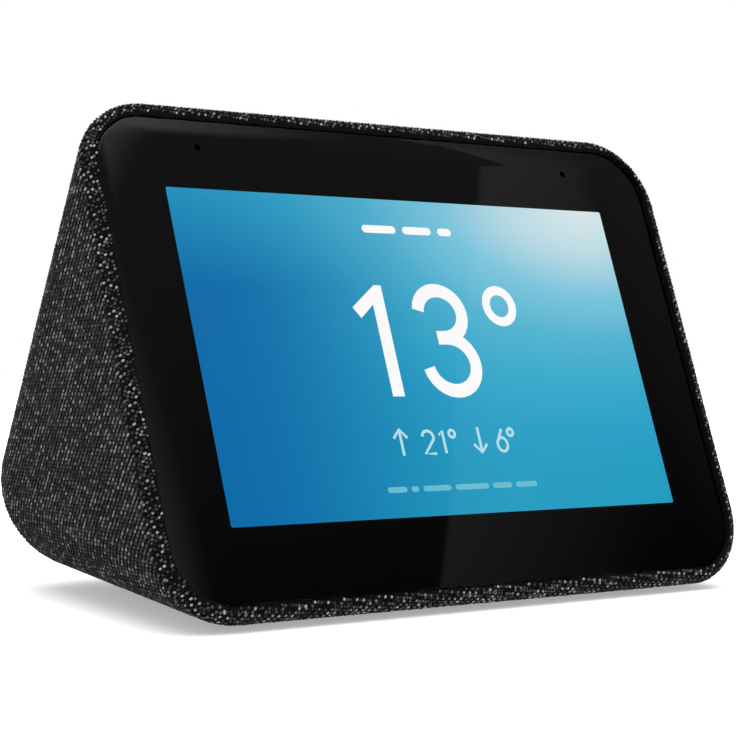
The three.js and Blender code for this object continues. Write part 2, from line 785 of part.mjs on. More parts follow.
ribbonShape.lineTo(ribbonFront + ribbonThick, ribbonTop);
add('display_ribbon', across(ribbonShape, ribbonWidth), looks.ribbon, face);

// ---------------------------------------------------------------- microphones and light sensor

const micBoardAt = ledgeEnd + seatGap;
const micAt = micBoardAt + micBoardThick + seatGap;
const micBoardShape = roundedShape(-micBoardWidth / 2, micBoardWidth / 2,
  micUp - micBoardHeight / 2 - micBoardLower, micUp + micBoardHeight / 2 - micBoardLower, micBoardThick);
const micBoard = solid(plate(micBoardShape, micBoardAt, micBoardAt + micBoardThick));
const micBores = micPlaces.map((x) => solid(bar(micHole, 0, splitDepth).translate(x, 0, micUp)));
add('microphone_board', geometryOf(cut(micBoard, micBores)), looks.board, face);

['left', 'right'].forEach((side, index) => {
  const x = micPlaces[index];
  const micShape = centredShape(micWidth, micHeight, micThick / 2);
  add(`microphone_${side}`, plate(micShape, micAt, micAt + micThick), looks.steel, face)
    .position.set(x, 0, micUp - micLower);
  const sealLine = [[sealBore, tapeAt], [sealRadius, tapeAt], [sealRadius, ledgeEnd], [sealBore, ledgeEnd]];
  add(`microphone_seal_${side}`, ring(sealLine), looks.rubber, face).position.set(x, 0, micUp);
});

const sensorShape = centredShape(sensorSize, sensorSize, sensorThick / 2);
add('light_sensor', plate(sensorShape, ledgeEnd - sensorThick, ledgeEnd), looks.chip, face)
  .position.z = micUp;

// ---------------------------------------------------------------- antennas, on the shell's side walls

const antennaSkin = wedge(tabInset).subtract(wedge(tabInset + antennaThick));
for (const [name, side] of [['antenna_left', -1], ['antenna_right', 1]]) {
  const zone = solid(block(
    side * boxWidth / 2, side * faceWidth, antennaFront, antennaRear, antennaBottom, antennaTop));
  add(name, geometryOf(antennaSkin.intersect(zone)), looks.board);
}

// ---------------------------------------------------------------- speaker box and baffle

function sideProfile(corners) {
  return new THREE.Shape(corners.map(([y, z]) => new THREE.Vector2(y, z)));
}

function boxProfile(wall, backInset) {
  const low = boxBottom + wall;
  const high = boxTop - wall;
  const notch = boxNotchZ + wall;
  return sideProfile([
    [faceLineY(boxDepth + wall, low), low], [boxNotchY - wall, low], [boxNotchY - wall, notch],
    [backLineY(backInset, notch), notch], [backLineY(backInset, high), high],
    [faceLineY(boxDepth + wall, high), high]]);
}

const radiatorBore = solid(new THREE.CylinderGeometry(radiatorHole, radiatorHole, 2 * boxWidth, roundSteps)
  .rotateZ(Math.PI / 2).translate(0, radiatorY, radiatorZ));
add('speaker_box', geometryOf(cut(solid(across(boxProfile(0, baffleRear), boxWidth)),
  [solid(across(boxProfile(boxWall, 0), boxWidth - 2 * boxWall)), radiatorBore])), looks.shell);

const driverScrew = flangeSize / 2 - driverScrewIn;
const driverScrews = [[-1, 1], [1, 1], [1, -1], [-1, -1]].map(
  ([x, z]) => [x * driverScrew, z * driverScrew]);
const baffleShape = roundedShape(-boxWidth / 2, boxWidth / 2,
  upSlope(baffleInset, boxNotchZ), upSlope(baffleInset, boxTop) + baffleLip, baffleThick);
const baffle = solid(plate(baffleShape, -baffleInset - baffleThick, -baffleInset));
add('speaker_baffle', geometryOf(cut(baffle, [
  solid(bar(basketRadius + runGap, -bodyDepth, 0).translate(0, 0, driverUp)),
  ...driverScrews.map(([x, z]) => solid(
    bar(shankRadius + runGap, -bodyDepth, 0).translate(x, 0, driverUp + z))),
])), looks.shell, back);

// ---------------------------------------------------------------- driver, fired out through the sloping back

const driver = new THREE.Group();
driver.position.set(0, -baffleInset, driverUp);
back.add(driver);

const flangeTop = seatGap + flangeThick;
const basketInner = basketRadius - basketWall;
const basketRing = solid(ring([
  [basketInner, flangeTop], [basketRadius + lap, flangeTop], [basketRadius + lap, seatGap],
  [basketRadius, seatGap], [basketRadius, -basketWall],
  [basketFoot, basketWall - basketDeep], [basketFoot, -basketDeep],
  [gapRadius, -basketDeep], [gapRadius, basketWall - basketDeep],
  [basketFoot - basketWall, basketWall - basketDeep], [basketInner, -basketWall]]));
const flange = cut(solid(plate(centredShape(flangeSize, flangeSize, flangeCorner), seatGap, flangeTop)), [
  solid(bar(basketRadius, 0, 2 * flangeTop)),
  ...driverScrews.map(([x, z]) => solid(bar(shankRadius + runGap, 0, 2 * flangeTop).translate(x, 0, z))),
]);
add('driver_basket', geometryOf(flange.add(basketRing)), looks.steel, driver);

const magnetTop = -basketDeep - seatGap;
const magnetEnd = magnetTop - magnetTall;
const gapFloor = magnetEnd + magnetBase;
add('driver_magnet', lathe([[0, magnetEnd], [magnetRadius, magnetEnd], [magnetRadius, magnetTop],
  [gapRadius, magnetTop], [gapRadius, gapFloor], [poleRadius, gapFloor], [poleRadius, magnetTop],
  [0, magnetTop]]), looks.magnet, driver);

const neck = coneEdge - coneDeep;
const formerInner = formerRadius - coneWall;
add('driver_cone', ring([[formerInner, neck - formerLong], [formerRadius, neck - formerLong],
  [formerRadius, neck - coneWall], [coneRadius, coneEdge - coneWall], [coneRadius, coneEdge],
  [coneRadius - coneWall, coneEdge], [formerInner, neck]]), looks.cone, driver);

// The dome's profile at a scale of its radius and rise, from its rim to the axis.
function domeLine(radius, rise, foot) {
  const points = [];
  for (let step = 0; step < cornerSteps; step += 1) {
    const turn = (step / cornerSteps) * Math.PI / 2;
    points.push([radius * Math.cos(turn), foot + rise * Math.sin(turn)]);
  }
  return [...points, [0, foot + rise]];
}

const capRadius = formerInner - runGap;
const domeUnder = domeLine(capRadius - coneWall, capRise - coneWall, neck).reverse();
add('driver_dust_cap', lathe([...domeUnder, ...domeLine(capRadius, capRise, neck)]), looks.cone, driver);

const rollOuter = basketRadius + surroundSeat;
add('driver_surround', rollRing(coneRadius + runGap, rollOuter, rollOuter + surroundLip, flangeTop + seatGap),
  looks.rubber, driver);

const driverHead = flangeTop + seatGap + headTall;
driverScrews.forEach(([x, z], index) => {
  add(`driver_screw_${index + 1}`, screw(driverHead + baffleThick - lap), looks.steel, driver)
    .position.set(x, driverHead, z);
});

// ---------------------------------------------------------------- passive radiators in the box's sides

const radiatorPlate = radiatorHole - radiatorRoll;
const radiatorHalf = radiatorPlateThick / 2;
for (const [name, side] of [['left', -1], ['right', 1]]) {
  const radiator = new THREE.Group();
  radiator.position.set(side * boxWidth / 2, radiatorY, radiatorZ);
  radiator.rotation.z = -side * Math.PI / 2;
  speaker.add(radiator);
  add(`${name}_radiator_surround`, rollRing(
    radiatorPlate + runGap, radiatorHole - radiatorSeat, radiatorHole + radiatorLip, seatGap),
  looks.rubber, radiator);
  add(`${name}_radiator_plate`, lathe([[0, -radiatorHalf], [radiatorPlate - radiatorPlateEdge, -radiatorHalf],
    [radiatorPlate, radiatorPlateEdge - radiatorHalf], [radiatorPlate, radiatorHalf - radiatorPlateEdge],
    [radiatorPlate - radiatorPlateEdge, radiatorHalf], [0, radiatorHalf]]), looks.cone, radiator);
}

// ---------------------------------------------------------------- volume buttons and mute slider

const capFlange = hollowInset + seatGap;
const flangeBack = capFlange + buttonFlangeThick;
const plungerTip = flangeBack + plungerLong;
const switchTop = plungerTip + buttonTravel + seatGap;
const controlBoardAt = switchTop + switchTall + seatGap;
for (const [name, side] of [['down', -1], ['up', 1]]) {
  const flangeRadius = buttonRadius + flangeStep;
  add(`volume_${name}_button`, lathe([
    [0, -plungerTip], [plungerRadius, -plungerTip], [plungerRadius, -flangeBack],
    [flangeRadius, -flangeBack], [flangeRadius, -capFlange], [buttonRadius, -capFlange],
    [buttonRadius, buttonProud - buttonEdge], [buttonRadius - buttonEdge, buttonProud], [0, buttonProud],
  ]), looks.rubber, back).position.set(side * buttonX, 0, controlUp);
  const switchShape = centredShape(switchSize, switchSize, switchTall / 4);
  add(`volume_${name}_switch`, plate(switchShape, -switchTop - switchTall, -switchTop), looks.steel, back)
    .position.set(side * buttonX, 0, controlUp);
}

const knobShape = centredShape(knobWidth, knobTall, knobTall / 2 - knobFlat);
const knobFlangeShape = centredShape(
  knobWidth + 2 * muteFlange, knobTall + 2 * muteFlange, muteFlangeThick);
const muteBack = capFlange + muteFlangeThick;
const knob = solid(plate(knobShape, -capFlange - lap, knobProud))
  .add(solid(plate(knobFlangeShape, -muteBack, -capFlange)));
add('mute_slider', geometryOf(knob), looks.rubber, back).position.set(-muteTravel / 2, 0, controlUp);
const muteSwitchShape = centredShape(muteSwitchWidth, muteSwitchTall, switchTall / 4);
add('mute_switch', plate(muteSwitchShape, seatGap - controlBoardAt, -muteBack - seatGap), looks.steel, back)
  .position.z = controlUp;
const controlShape = centredShape(controlBoardWidth, controlBoardTall, controlBoardThick);
const controlBoard = plate(controlShape, -controlBoardAt - controlBoardThick, -controlBoardAt);
add('button_board', controlBoard, looks.board, back).position.z = controlUp;

// ---------------------------------------------------------------- port panel, sockets and their board

const usbZ = socketZ + usbTall / 2;
const powerZ = socketZ + powerSize / 2;

function socketWindow(width, tall, x, z) {
  const outline = centredShape(width + 2 * runGap, tall + 2 * runGap, socketCorner + runGap);
  return solid(plate(outline, 0, bodyDepth).translate(x, 0, z));
}

const portTub = portBlock(portWall, portFloorY - portFloor).intersect(wedge(-portProud));
add('port_panel', geometryOf(cut(portTub, [
  portBlock(0, portFloorY),
  socketWindow(usbWidth, usbTall, usbX, usbZ),
  socketWindow(powerSize, powerSize, powerX, powerZ),
])), looks.shell);

const usbBody = solid(plate(centredShape(usbWidth, usbTall, socketCorner), -usbDeep, 0));
const usbRoom = solid(block(usbWall - usbWidth / 2, usbWidth / 2 - usbWall, usbBack - usbDeep, usbDeep,
  usbWall - usbTall / 2, usbTall / 2 - usbWall));
const usbBlade = solid(block(usbTongueIn - usbWidth / 2, usbWidth / 2 - usbTongueIn,
  usbBack - lap - usbDeep, -usbBack, 0, usbTongue));
add('usb_socket', geometryOf(usbBody.subtract(usbRoom).add(usbBlade)), looks.steel)
  .position.set(usbX, portFloorY, usbZ);

const powerBody = solid(plate(centredShape(powerSize, powerSize, socketCorner), -powerDeep, 0));
const powerRoom = solid(bar(powerBore, -powerBoreDeep, powerDeep));
const powerTip = solid(bar(powerPin, -powerBoreDeep - lap, -powerPin));
add('power_socket', geometryOf(powerBody.subtract(powerRoom).add(powerTip)), looks.chip)
  .position.set(powerX, portFloorY, powerZ);

add('port_board', block(-portBoardWidth / 2, portBoardWidth / 2, boxNotchY + portBoardGap,
  portFloorY - portFloor - seatGap, portBoardAt, portBoardTop), looks.board);

// ---------------------------------------------------------------- base plate, its screws and the rubber foot

const headAt = baseAt + headSunk;
const counterbores = baseScrews.map(([x, y]) => solid(
  standing(headRadius + runGap, 0, headAt + headTall + headSunk / 2).translate(x, y, 0)));
const baseBlank = solid(lying(basePlan(0), baseAt, baseAt + baseThick));
add('base_plate', geometryOf(cut(baseBlank, [...baseBores, ...counterbores])), looks.shell);
baseScrews.forEach(([x, y], index) => {
  const mesh = add(`base_screw_${index + 1}`, screw(baseBossTop - boreRoof - lap - headAt), looks.steel);
  mesh.position.set(x, y, headAt);
  mesh.rotation.x = -Math.PI / 2;
});
add('rubber_foot', lying(basePlan(footMargin), 0, footThick), looks.rubber);

export default speaker;
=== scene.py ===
"""Bedside smart speaker: a fabric-covered wedge with a leaning glass display in front, a driver
behind its sloping back, and volume buttons, a mute slider and a recess for plugs at the rear.
Metres, +Z up, +X to the user's right, +Y to the rear."""

import json
import math

import bmesh
import bpy
from mathutils import Matrix, Vector


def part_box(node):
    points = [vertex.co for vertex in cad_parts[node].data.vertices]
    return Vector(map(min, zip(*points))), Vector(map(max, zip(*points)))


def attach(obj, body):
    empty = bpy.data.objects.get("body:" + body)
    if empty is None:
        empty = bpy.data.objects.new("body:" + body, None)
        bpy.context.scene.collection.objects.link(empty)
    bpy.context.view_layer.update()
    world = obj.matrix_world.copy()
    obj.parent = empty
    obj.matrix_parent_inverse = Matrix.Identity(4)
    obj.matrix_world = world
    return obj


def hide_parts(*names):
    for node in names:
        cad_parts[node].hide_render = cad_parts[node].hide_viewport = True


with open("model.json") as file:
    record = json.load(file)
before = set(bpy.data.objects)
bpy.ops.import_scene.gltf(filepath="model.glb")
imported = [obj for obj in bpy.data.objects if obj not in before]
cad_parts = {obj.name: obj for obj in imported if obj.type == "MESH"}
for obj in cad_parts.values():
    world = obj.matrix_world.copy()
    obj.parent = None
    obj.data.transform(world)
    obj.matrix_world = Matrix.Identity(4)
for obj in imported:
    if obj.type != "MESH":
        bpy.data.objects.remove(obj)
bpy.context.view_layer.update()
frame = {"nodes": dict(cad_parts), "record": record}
mm = 0.001


# -------------------- camera
# It stands in front of the speaker and to its left, level with the middle of the display.

camera_place = Vector((-0.1982, -0.2742, 0.0373))
camera_turn = math.radians(36.72)
camera_tilt = math.radians(-0.167)
aim = Vector((math.sin(camera_turn) * math.cos(camera_tilt),
              math.cos(camera_turn) * math.cos(camera_tilt), math.sin(camera_tilt)))
camera_data = bpy.data.cameras.new("camera")
camera_data.lens = 100
camera_data.sensor_width = 36
camera = bpy.data.objects.new("camera", camera_data)
camera.location = camera_place
camera.rotation_euler = aim.to_track_quat("-Z", "Y").to_euler()
bpy.context.scene.collection.objects.link(camera)
bpy.context.scene.camera = camera
bpy.context.scene.view_settings.view_transform = "Standard"


# -------------------- studio light
# A white room with a large soft light overhead, weaker ones at the left and behind, and a tall
# soft strip to the front right that the glass mirrors as a pale band.

def wire(tree, kind, inputs=None, **settings):
    """Adds a node, sets its properties, and fills its inputs with values or joins them up."""
    node = tree.nodes.new(kind)
    for name, value in settings.items():
        setattr(node, name, value)
    for key, value in (inputs or {}).items():
        if isinstance(value, bpy.types.NodeSocket):
            tree.links.new(value, node.inputs[key])
        else:
            node.inputs[key].default_value = value
    return node


world = bpy.data.worlds.new("studio")
bpy.context.scene.world = world
world.use_nodes = True
room = world.node_tree
room.nodes.clear()
looking = wire(room, "ShaderNodeTexCoord").outputs["Generated"]


def glow(direction, start, full, strength, shape="SMOOTHSTEP"):
    """Light that grows from nothing to its strength as a ray turns towards a direction."""
    toward = wire(room, "ShaderNodeVectorMath", {0: looking, 1: direction}, operation="DOT_PRODUCT")
    return wire(room, "ShaderNodeMapRange", {
        "Value": toward.outputs["Value"], "From Min": start, "From Max": full, "To Min": 0.0,
        "To Max": strength}, interpolation_type=shape).outputs["Result"]


def combine(first, second, operation):
    return wire(room, "ShaderNodeMath", {0: first, 1: second}, operation=operation).outputs[0]


strip_edge = (0.771, 0.457, -0.445)
strip_starts = glow(strip_edge, 0.0, 0.003, 1.0)
strip_fades = glow(tuple(-x for x in strip_edge), -0.12, 0.0, 1.0, "LINEAR")
strip_tall = glow((0, 0, 1), -0.5, 0.58, 0.225, "LINEAR")
strip = combine(combine(strip_starts, strip_fades, "MULTIPLY"), strip_tall, "MULTIPLY")
light = strip
for lamp in (
    glow((0, 0, 1), 0.2, 0.62, 0.135, "LINEAR"),
    glow((0, 0, 1), 0.68, 0.86, 2.3),
    glow((-0.88, -0.2, 0.42), 0.45, 0.95, 0.2),
    glow((-0.4, -0.88, 0.25), 0.6, 0.95, 1.3),
    glow((0.1, 0.95, 0.3), 0.3, 0.95, 1.0),
):
    light = combine(light, lamp, "ADD")
lit = wire(room, "ShaderNodeBackground", {"Color": (1, 1, 1, 1), "Strength": light})
white = wire(room, "ShaderNodeBackground", {"Color": (1, 1, 1, 1), "Strength": 1.0})
seen = wire(room, "ShaderNodeLightPath").outputs["Is Camera Ray"]
mixed = wire(room, "ShaderNodeMixShader", {0: seen, 1: lit.outputs[0], 2: white.outputs[0]})
wire(room, "ShaderNodeOutputWorld", {"Surface": mixed.outputs[0]})


# -------------------- floor
# A plain pale sweep of matt board, far larger than the speaker.

def material(name, **sockets):
    """A material holding one Principled shader with its constant sockets set."""
    made = bpy.data.materials.new(name)
    made.use_nodes = True
    shader = made.node_tree.nodes["Principled BSDF"]
    for key, value in sockets.items():
        shader.inputs[key.replace("_", " ")].default_value = value
    return made, made.node_tree, shader


floor_look, tree, shader = material("floor board", Roughness=0.9, Specular_IOR_Level=0.1)
speckle = wire(tree, "ShaderNodeTexNoise", {"Scale": 30.0, "Detail": 2.0})
shade = wire(tree, "ShaderNodeMapRange", {"Value": speckle.outputs[0], "To Min": 0.9, "To Max": 0.92})
tree.links.new(shade.outputs[0], shader.inputs["Base Color"])
shader.inputs["Emission Color"].default_value = (1, 1, 1, 1)
shader.inputs["Emission Strength"].default_value = 0.36
floor_reach = 6.0
floor_mesh = bpy.data.meshes.new("floor")
floor_corners = [(x * floor_reach, y * floor_reach, 0) for x, y in ((-1, -1), (1, -1), (1, 1), (-1, 1))]
floor_mesh.from_pydata(floor_corners, [], [(0, 1, 2, 3)])
floor_mesh.materials.append(floor_look)
floor = bpy.data.objects.new("floor", floor_mesh)
bpy.context.scene.collection.objects.link(floor)


# -------------------- fabric cover: skin
# A black melange cloth pulled over the moulded wedge and glued down, turned in round the glass.
# The skin is the cloth's ground. Its shape is the hull of a rolled rim and a ball at each rear corner.

face_wide, face_tall, face_corner = 113 * mm, 79 * mm, 12.1 * mm
face_lean = math.radians(20)
rim_round, rim_proud = 2 * mm, 0.7 * mm
rear_taper, rear_round, rear_lift, foot_stand = 9.3 * mm, 15 * mm, 2.1 * mm, 1 * mm
cloth_thick = 0.8 * mm
rim_turn = math.radians(120)

body_deep = 79.2 * mm
spine_deep = rim_round - rim_proud
spine_up = face_tall / 2 - rim_round
rear_x = face_wide / 2 - rear_taper - rear_round
rear_y = body_deep / 2 - rear_round
rear_z = foot_stand + rear_lift + rear_round
face_place = Vector((
    0,
    rim_round - body_deep / 2 + spine_up * math.sin(face_lean) - spine_deep * math.cos(face_lean),
    foot_stand + rim_round + spine_up * math.cos(face_lean) + spine_deep * math.sin(face_lean)))
face = Matrix.Translation(face_place) @ Matrix.Rotation(-face_lean, 4, "X")
top_spine = face @ Vector((0, spine_deep, spine_up))
slope_run, slope_drop = rear_y - top_spine.y, top_spine.z - rear_z
slope_long = math.hypot(slope_run, slope_drop)
back_pitch = math.acos((rim_round - rear_round) / slope_long) - math.atan2(slope_drop, slope_run)
back_place = (0, rear_y + rear_round * math.cos(back_pitch), rear_z + rear_round * math.sin(back_pitch))
back = Matrix.Translation(back_place) @ Matrix.Rotation(back_pitch, 4, "X")
back_out = back.to_3x3() @ Vector((0, 1, 0))
face_out = face.to_3x3() @ Vector((0, -1, 0))


def new_piece(name, points, faces, look=None):
    mesh = bpy.data.meshes.new(name)
    mesh.from_pydata([tuple(p) for p in points], [], faces)
    mesh.update()
    if look:
        mesh.materials.append(look)
    made = bpy.data.objects.new(name, mesh)
    bpy.context.scene.collection.objects.link(made)
    return made


def discard(*pieces):
    for piece in pieces:
        mesh = piece.data
        bpy.data.objects.remove(piece)
        bpy.data.meshes.remove(mesh)


def apply_all(piece):
    """Turns a piece with its modifiers into a plain mesh."""
    graph = bpy.context.evaluated_depsgraph_get()
    mesh = bpy.data.meshes.new_from_object(piece.evaluated_get(graph))
    piece.modifiers.clear()
    old = piece.data
    piece.data = mesh
    bpy.data.meshes.remove(old)
    mesh.name = piece.name
    return piece


def carve(piece, cutters, operation="DIFFERENCE"):
    for cutter in cutters:
        step = piece.modifiers.new("carve", "BOOLEAN")
        step.operation = operation
        step.object = cutter
        step.solver = "EXACT"
    apply_all(piece)
    discard(*cutters)
    return piece


def soften(piece, degrees=30):
    """Smooth shading that keeps edges sharper than an angle."""
    piece.data.shade_smooth()
    piece.data.set_sharp_from_angle(angle=math.radians(degrees))
    return piece


def wedge(name, inset, look=None, corner_steps=14, roll_steps=10, ball_steps=10):
    """The body wedge, drawn in by an inset."""
    drawn, tube = max(rim_round, inset), max(rim_round - inset, 0)
    corner = face_corner - drawn
    points = []
    for side_x, side_z in ((1, 1), (-1, 1), (-1, -1), (1, -1)):
        for step in range(corner_steps + 1):
            around = step / corner_steps * math.pi / 2
            out_x, out_z = side_x * math.cos(around), side_z * math.sin(around)
            x = side_x * (face_wide / 2 - face_corner) + corner * out_x
            z = side_z * (face_tall / 2 - face_corner) + corner * out_z
            for turn in range(roll_steps + 1 if tube > 0 else 1):
                roll = turn / roll_steps * rim_turn
                out = tube * math.sin(roll)
                depth = drawn - rim_proud - tube * math.cos(roll)
                points.append(face @ Vector((x + out * out_x, depth, z + out * out_z)))
    ball = rear_round - inset
    for side in (-1, 1):
        for ring in range(2 * ball_steps + 1):
            tip = ring / (2 * ball_steps) * math.pi
            for step in range(2 * ball_steps + 1):
                swing = step / (2 * ball_steps) * math.pi / 2
                points.append(Vector((
                    side * (rear_x + ball * math.sin(tip) * math.sin(swing)),
                    rear_y + ball * math.sin(tip) * math.cos(swing),
                    rear_z + ball * math.cos(tip))))
    return hull(name, points, look)


def hull(name, points, look=None):
    shape = bmesh.new()
    for point in points:
        shape.verts.new(point)
    bmesh.ops.remove_doubles(shape, verts=shape.verts, dist=1e-6)
    found = bmesh.ops.convex_hull(shape, input=shape.verts)
    inside = {v for v in found["geom_interior"] + found["geom_unused"] if isinstance(v, bmesh.types.BMVert)}
    bmesh.ops.delete(shape, geom=list(inside), context="VERTS")
    bmesh.ops.recalc_face_normals(shape, faces=shape.faces)
    made = new_piece(name, [], [], look)
    shape.to_mesh(made.data)
    shape.free()
    return made


def rounded_outline(left, right, low, high, radius, steps=12):
    """Points round a rectangle with round corners, anticlockwise from its right side."""
    points = []
    for x, z, in_x, in_z, quarter in ((right, high, -1, -1, 0), (left, high, 1, -1, 1),
                                      (left, low, 1, 1, 2), (right, low, -1, 1, 3)):
        for step in range(steps + 1):
            turn = (quarter + step / steps) * math.pi / 2
            points.append((x + radius * (in_x + math.cos(turn)), z + radius * (in_z + math.sin(turn))))
    return points


def plate(name, outline_at, front, rear, place, look=None, edge=0.0, edge_steps=4, rear_edge=None):
    """A closed plate between two depths along y. outline_at(inset) gives its outline, and its edges
    are rounded by an edge radius."""
    rear_edge = edge if rear_edge is None else rear_edge
    loops = []
    for radius, side, start in ((edge, 1, front), (rear_edge, -1, rear)):
        turns = range(edge_steps + 1) if radius > 0 else (edge_steps,)
        rows = []
        for turn in turns:
            angle = turn / edge_steps * math.pi / 2
            rows.append((radius * (1 - math.sin(angle)), start + side * radius * (1 - math.cos(angle))))
        loops += rows if side > 0 else rows[::-1]
    points, faces = [], []
    for inset, depth in loops:
        points += [place @ Vector((x, depth, z)) for x, z in outline_at(inset)]
    count = len(outline_at(0))
    for ring in range(len(loops) - 1):
        for step in range(count):
            a, b = ring * count + step, ring * count + (step + 1) % count
            faces.append((a, a + count, b + count, b))
    faces.append(tuple(range(count)))
    last = (len(loops) - 1) * count
    faces.append(tuple(last + count - 1 - step for step in range(count)))
    return upright(new_piece(name, points, faces, look))


def upright(piece):
    """Turns a closed mesh's faces outwards."""
    shape = bmesh.new()
    shape.from_mesh(piece.data)
    bmesh.ops.remove_doubles(shape, verts=shape.verts, dist=1e-7)
    bmesh.ops.recalc_face_normals(shape, faces=shape.faces)
    if shape.calc_volume(signed=True) < 0:
        bmesh.ops.reverse_faces(shape, faces=shape.faces)
    shape.to_mesh(piece.data)
    shape.free()
    return piece


def centred(wide, tall, radius, x=0.0, z=0.0, steps=12):
    """A function giving a rounded rectangle about a point, drawn in by an inset."""
    def outline_at(inset):
        return rounded_outline(x - wide / 2 + inset, x + wide / 2 - inset,
                               z - tall / 2 + inset, z + tall / 2 - inset, radius - inset, steps)
    return outline_at


def disc(radius, x=0.0, z=0.0, steps=48):
    def outline_at(inset):
        return [(x + (radius - inset) * math.cos(2 * math.pi * k / steps),
                 z + (radius - inset) * math.sin(2 * math.pi * k / steps)) for k in range(steps)]
    return outline_at


glass_wide, glass_tall, glass_corner = 108.2 * mm, 74.4 * mm, 9 * mm
glass_gap = 0.12 * mm
control_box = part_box("volume_up_button")
control_x = (control_box[0].x + control_box[1].x) / 2
switch_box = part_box("mute_switch")
control_up = (back.inverted() @ ((switch_box[0] + switch_box[1]) / 2)).z
button_radius, button_gap = 4.5 * mm, 0.25 * mm
knob_wide, knob_tall, mute_travel = 5 * mm, 2.6 * mm, 2.5 * mm
port_low, port_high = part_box("port_panel")
port_middle = (port_low.z + port_high.z) / 2
port_wide, port_tall = port_high.x - port_low.x, port_high.z - port_low.z
port_corner = 4 * mm
port_gap, slot_gap = 0.15 * mm, 0.3 * mm
upright_y = Matrix.Identity(4)


def port_outline(margin):
    return centred(port_wide + 2 * margin, port_tall + 2 * margin, port_corner + margin, 0, port_middle)


def base_plan(margin, front=-22.5 * mm, rear=20 * mm, corner=6 * mm, sides_in=4 * mm, steps=10):
    """The base's outline: a trapezoid with round corners, drawn in by a margin."""
    bottom = face @ Vector((0, spine_deep, -spine_up))
    wide_front = face_wide / 2 - face_corner

    def half(y):
        return wide_front + (rear_x - wide_front) * (y - bottom.y) / (rear_y - bottom.y) - sides_in - margin
    y0, y1, radius = front + margin, rear - margin, max(corner - margin, 0.5 * mm)
    corners = [Vector((side * half(y), y)) for side, y in ((-1, y0), (1, y0), (1, y1), (-1, y1))]
    points = []
    for index, point in enumerate(corners):
        before, after = corners[index - 1], corners[(index + 1) % 4]
        enter = point + (before - point).normalized() * radius
        leave = point + (after - point).normalized() * radius
        for step in range(steps + 1):
            t = step / steps
            points.append(tuple((1 - t) ** 2 * enter + 2 * t * (1 - t) * point + t * t * leave))
    return points


lying = Matrix(((1, 0, 0, 0), (0, 0, 1, 0), (0, 1, 0, 0), (0, 0, 0, 1)))


def openings(margin):
    """Bodies that fill the cloth's openings, let out by a margin."""
    glass_out, slot_out = glass_gap + margin, slot_gap + margin
    glass_hole = centred(glass_wide + 2 * glass_out, glass_tall + 2 * glass_out, glass_corner + glass_out)
    slot = centred(knob_wide + mute_travel + 2 * slot_out, knob_tall + 2 * slot_out,
                   knob_tall / 2 + slot_out, 0, control_up)
    made = [
        plate("cut_glass", glass_hole, -5 * mm, 1.1 * mm, face),
        plate("cut_base", lambda inset: base_plan(inset - slot_out), -5 * mm, 5 * mm, lying),
        plate("cut_port", port_outline(port_gap + margin), port_low.y, body_deep, upright_y),
        plate("cut_mute", slot, -4 * mm, 3 * mm, back),
    ]
    for side in (-1, 1):
        hole = disc(button_radius + button_gap + margin, side * control_x, control_up)
        made.append(plate(f"cut_button_{side}", hole, -4 * mm, 3 * mm, back))
    return made


ground_look, tree, shader = material("cloth ground", Roughness=0.95, Specular_IOR_Level=0.05,
                                     Sheen_Weight=0.01, Sheen_Roughness=0.5)
place = wire(tree, "ShaderNodeTexCoord").outputs["Object"]
fuzz = wire(tree, "ShaderNodeTexNoise", {"Vector": place, "Scale": 2600.0, "Detail": 3.0})
patch = wire(tree, "ShaderNodeMapRange", {"Value": fuzz.outputs[0], "From Min": 0.35, "From Max": 0.7,
                                          "To Min": 0.001, "To Max": 0.004})
tree.links.new(patch.outputs[0], shader.inputs["Base Color"])
lump = wire(tree, "ShaderNodeBump", {"Height": fuzz.outputs[0], "Strength": 0.8, "Distance": 0.1 * mm})
tree.links.new(lump.outputs[0], shader.inputs["Normal"])

skin = wedge("fabric_ground", 0.12 * mm, ground_look)
carve(skin, [wedge("inner", cloth_thick)] + openings(0))
soften(skin, 25)


# -------------------- fabric cover: yarns
# Short floats of melange yarn stand on the ground in rows on the bias, every second row lighter.
# They are laid region by region, square to each side of the wedge, and kept off the openings.

row_step, float_step = 0.5 * mm, 0.82 * mm
float_long, float_wide, float_high = 0.8 * mm, 0.38 * mm, 0.36 * mm
kept_clear = 0.24 * mm

yarn_look, tree, shader = material("melange yarn", Roughness=0.9, Specular_IOR_Level=0.04,
                                   Sheen_Weight=0.005, Sheen_Roughness=0.5)
tone = wire(tree, "ShaderNodeAttribute", attribute_name="shade")
place = wire(tree, "ShaderNodeTexCoord").outputs["Object"]
fibre = wire(tree, "ShaderNodeTexNoise", {"Vector": place, "Scale": 4200.0, "Detail": 2.0})
mixed_tone = wire(tree, "ShaderNodeMath", {0: fibre.outputs[0], 1: 0.22, 2: tone.outputs["Fac"]},
                  operation="MULTIPLY_ADD")
ramp = wire(tree, "ShaderNodeValToRGB", {0: mixed_tone.outputs[0]})
ramp.color_ramp.elements[0].position = 0.1
ramp.color_ramp.elements[0].color = (0.003, 0.003, 0.003, 1)
ramp.color_ramp.elements[1].position = 1.0
ramp.color_ramp.elements[1].color = (0.3, 0.3, 0.303, 1)
for spot, grey in ((0.35, 0.01), (0.6, 0.042), (0.8, 0.11)):
    ramp.color_ramp.elements.new(spot).color = (grey, grey, grey * 1.02, 1)
tree.links.new(ramp.outputs[0], shader.inputs["Base Color"])
lump = wire(tree, "ShaderNodeBump", {"Height": fibre.outputs[0], "Strength": 0.5, "Distance": 0.05 * mm})
tree.links.new(lump.outputs[0], shader.inputs["Normal"])


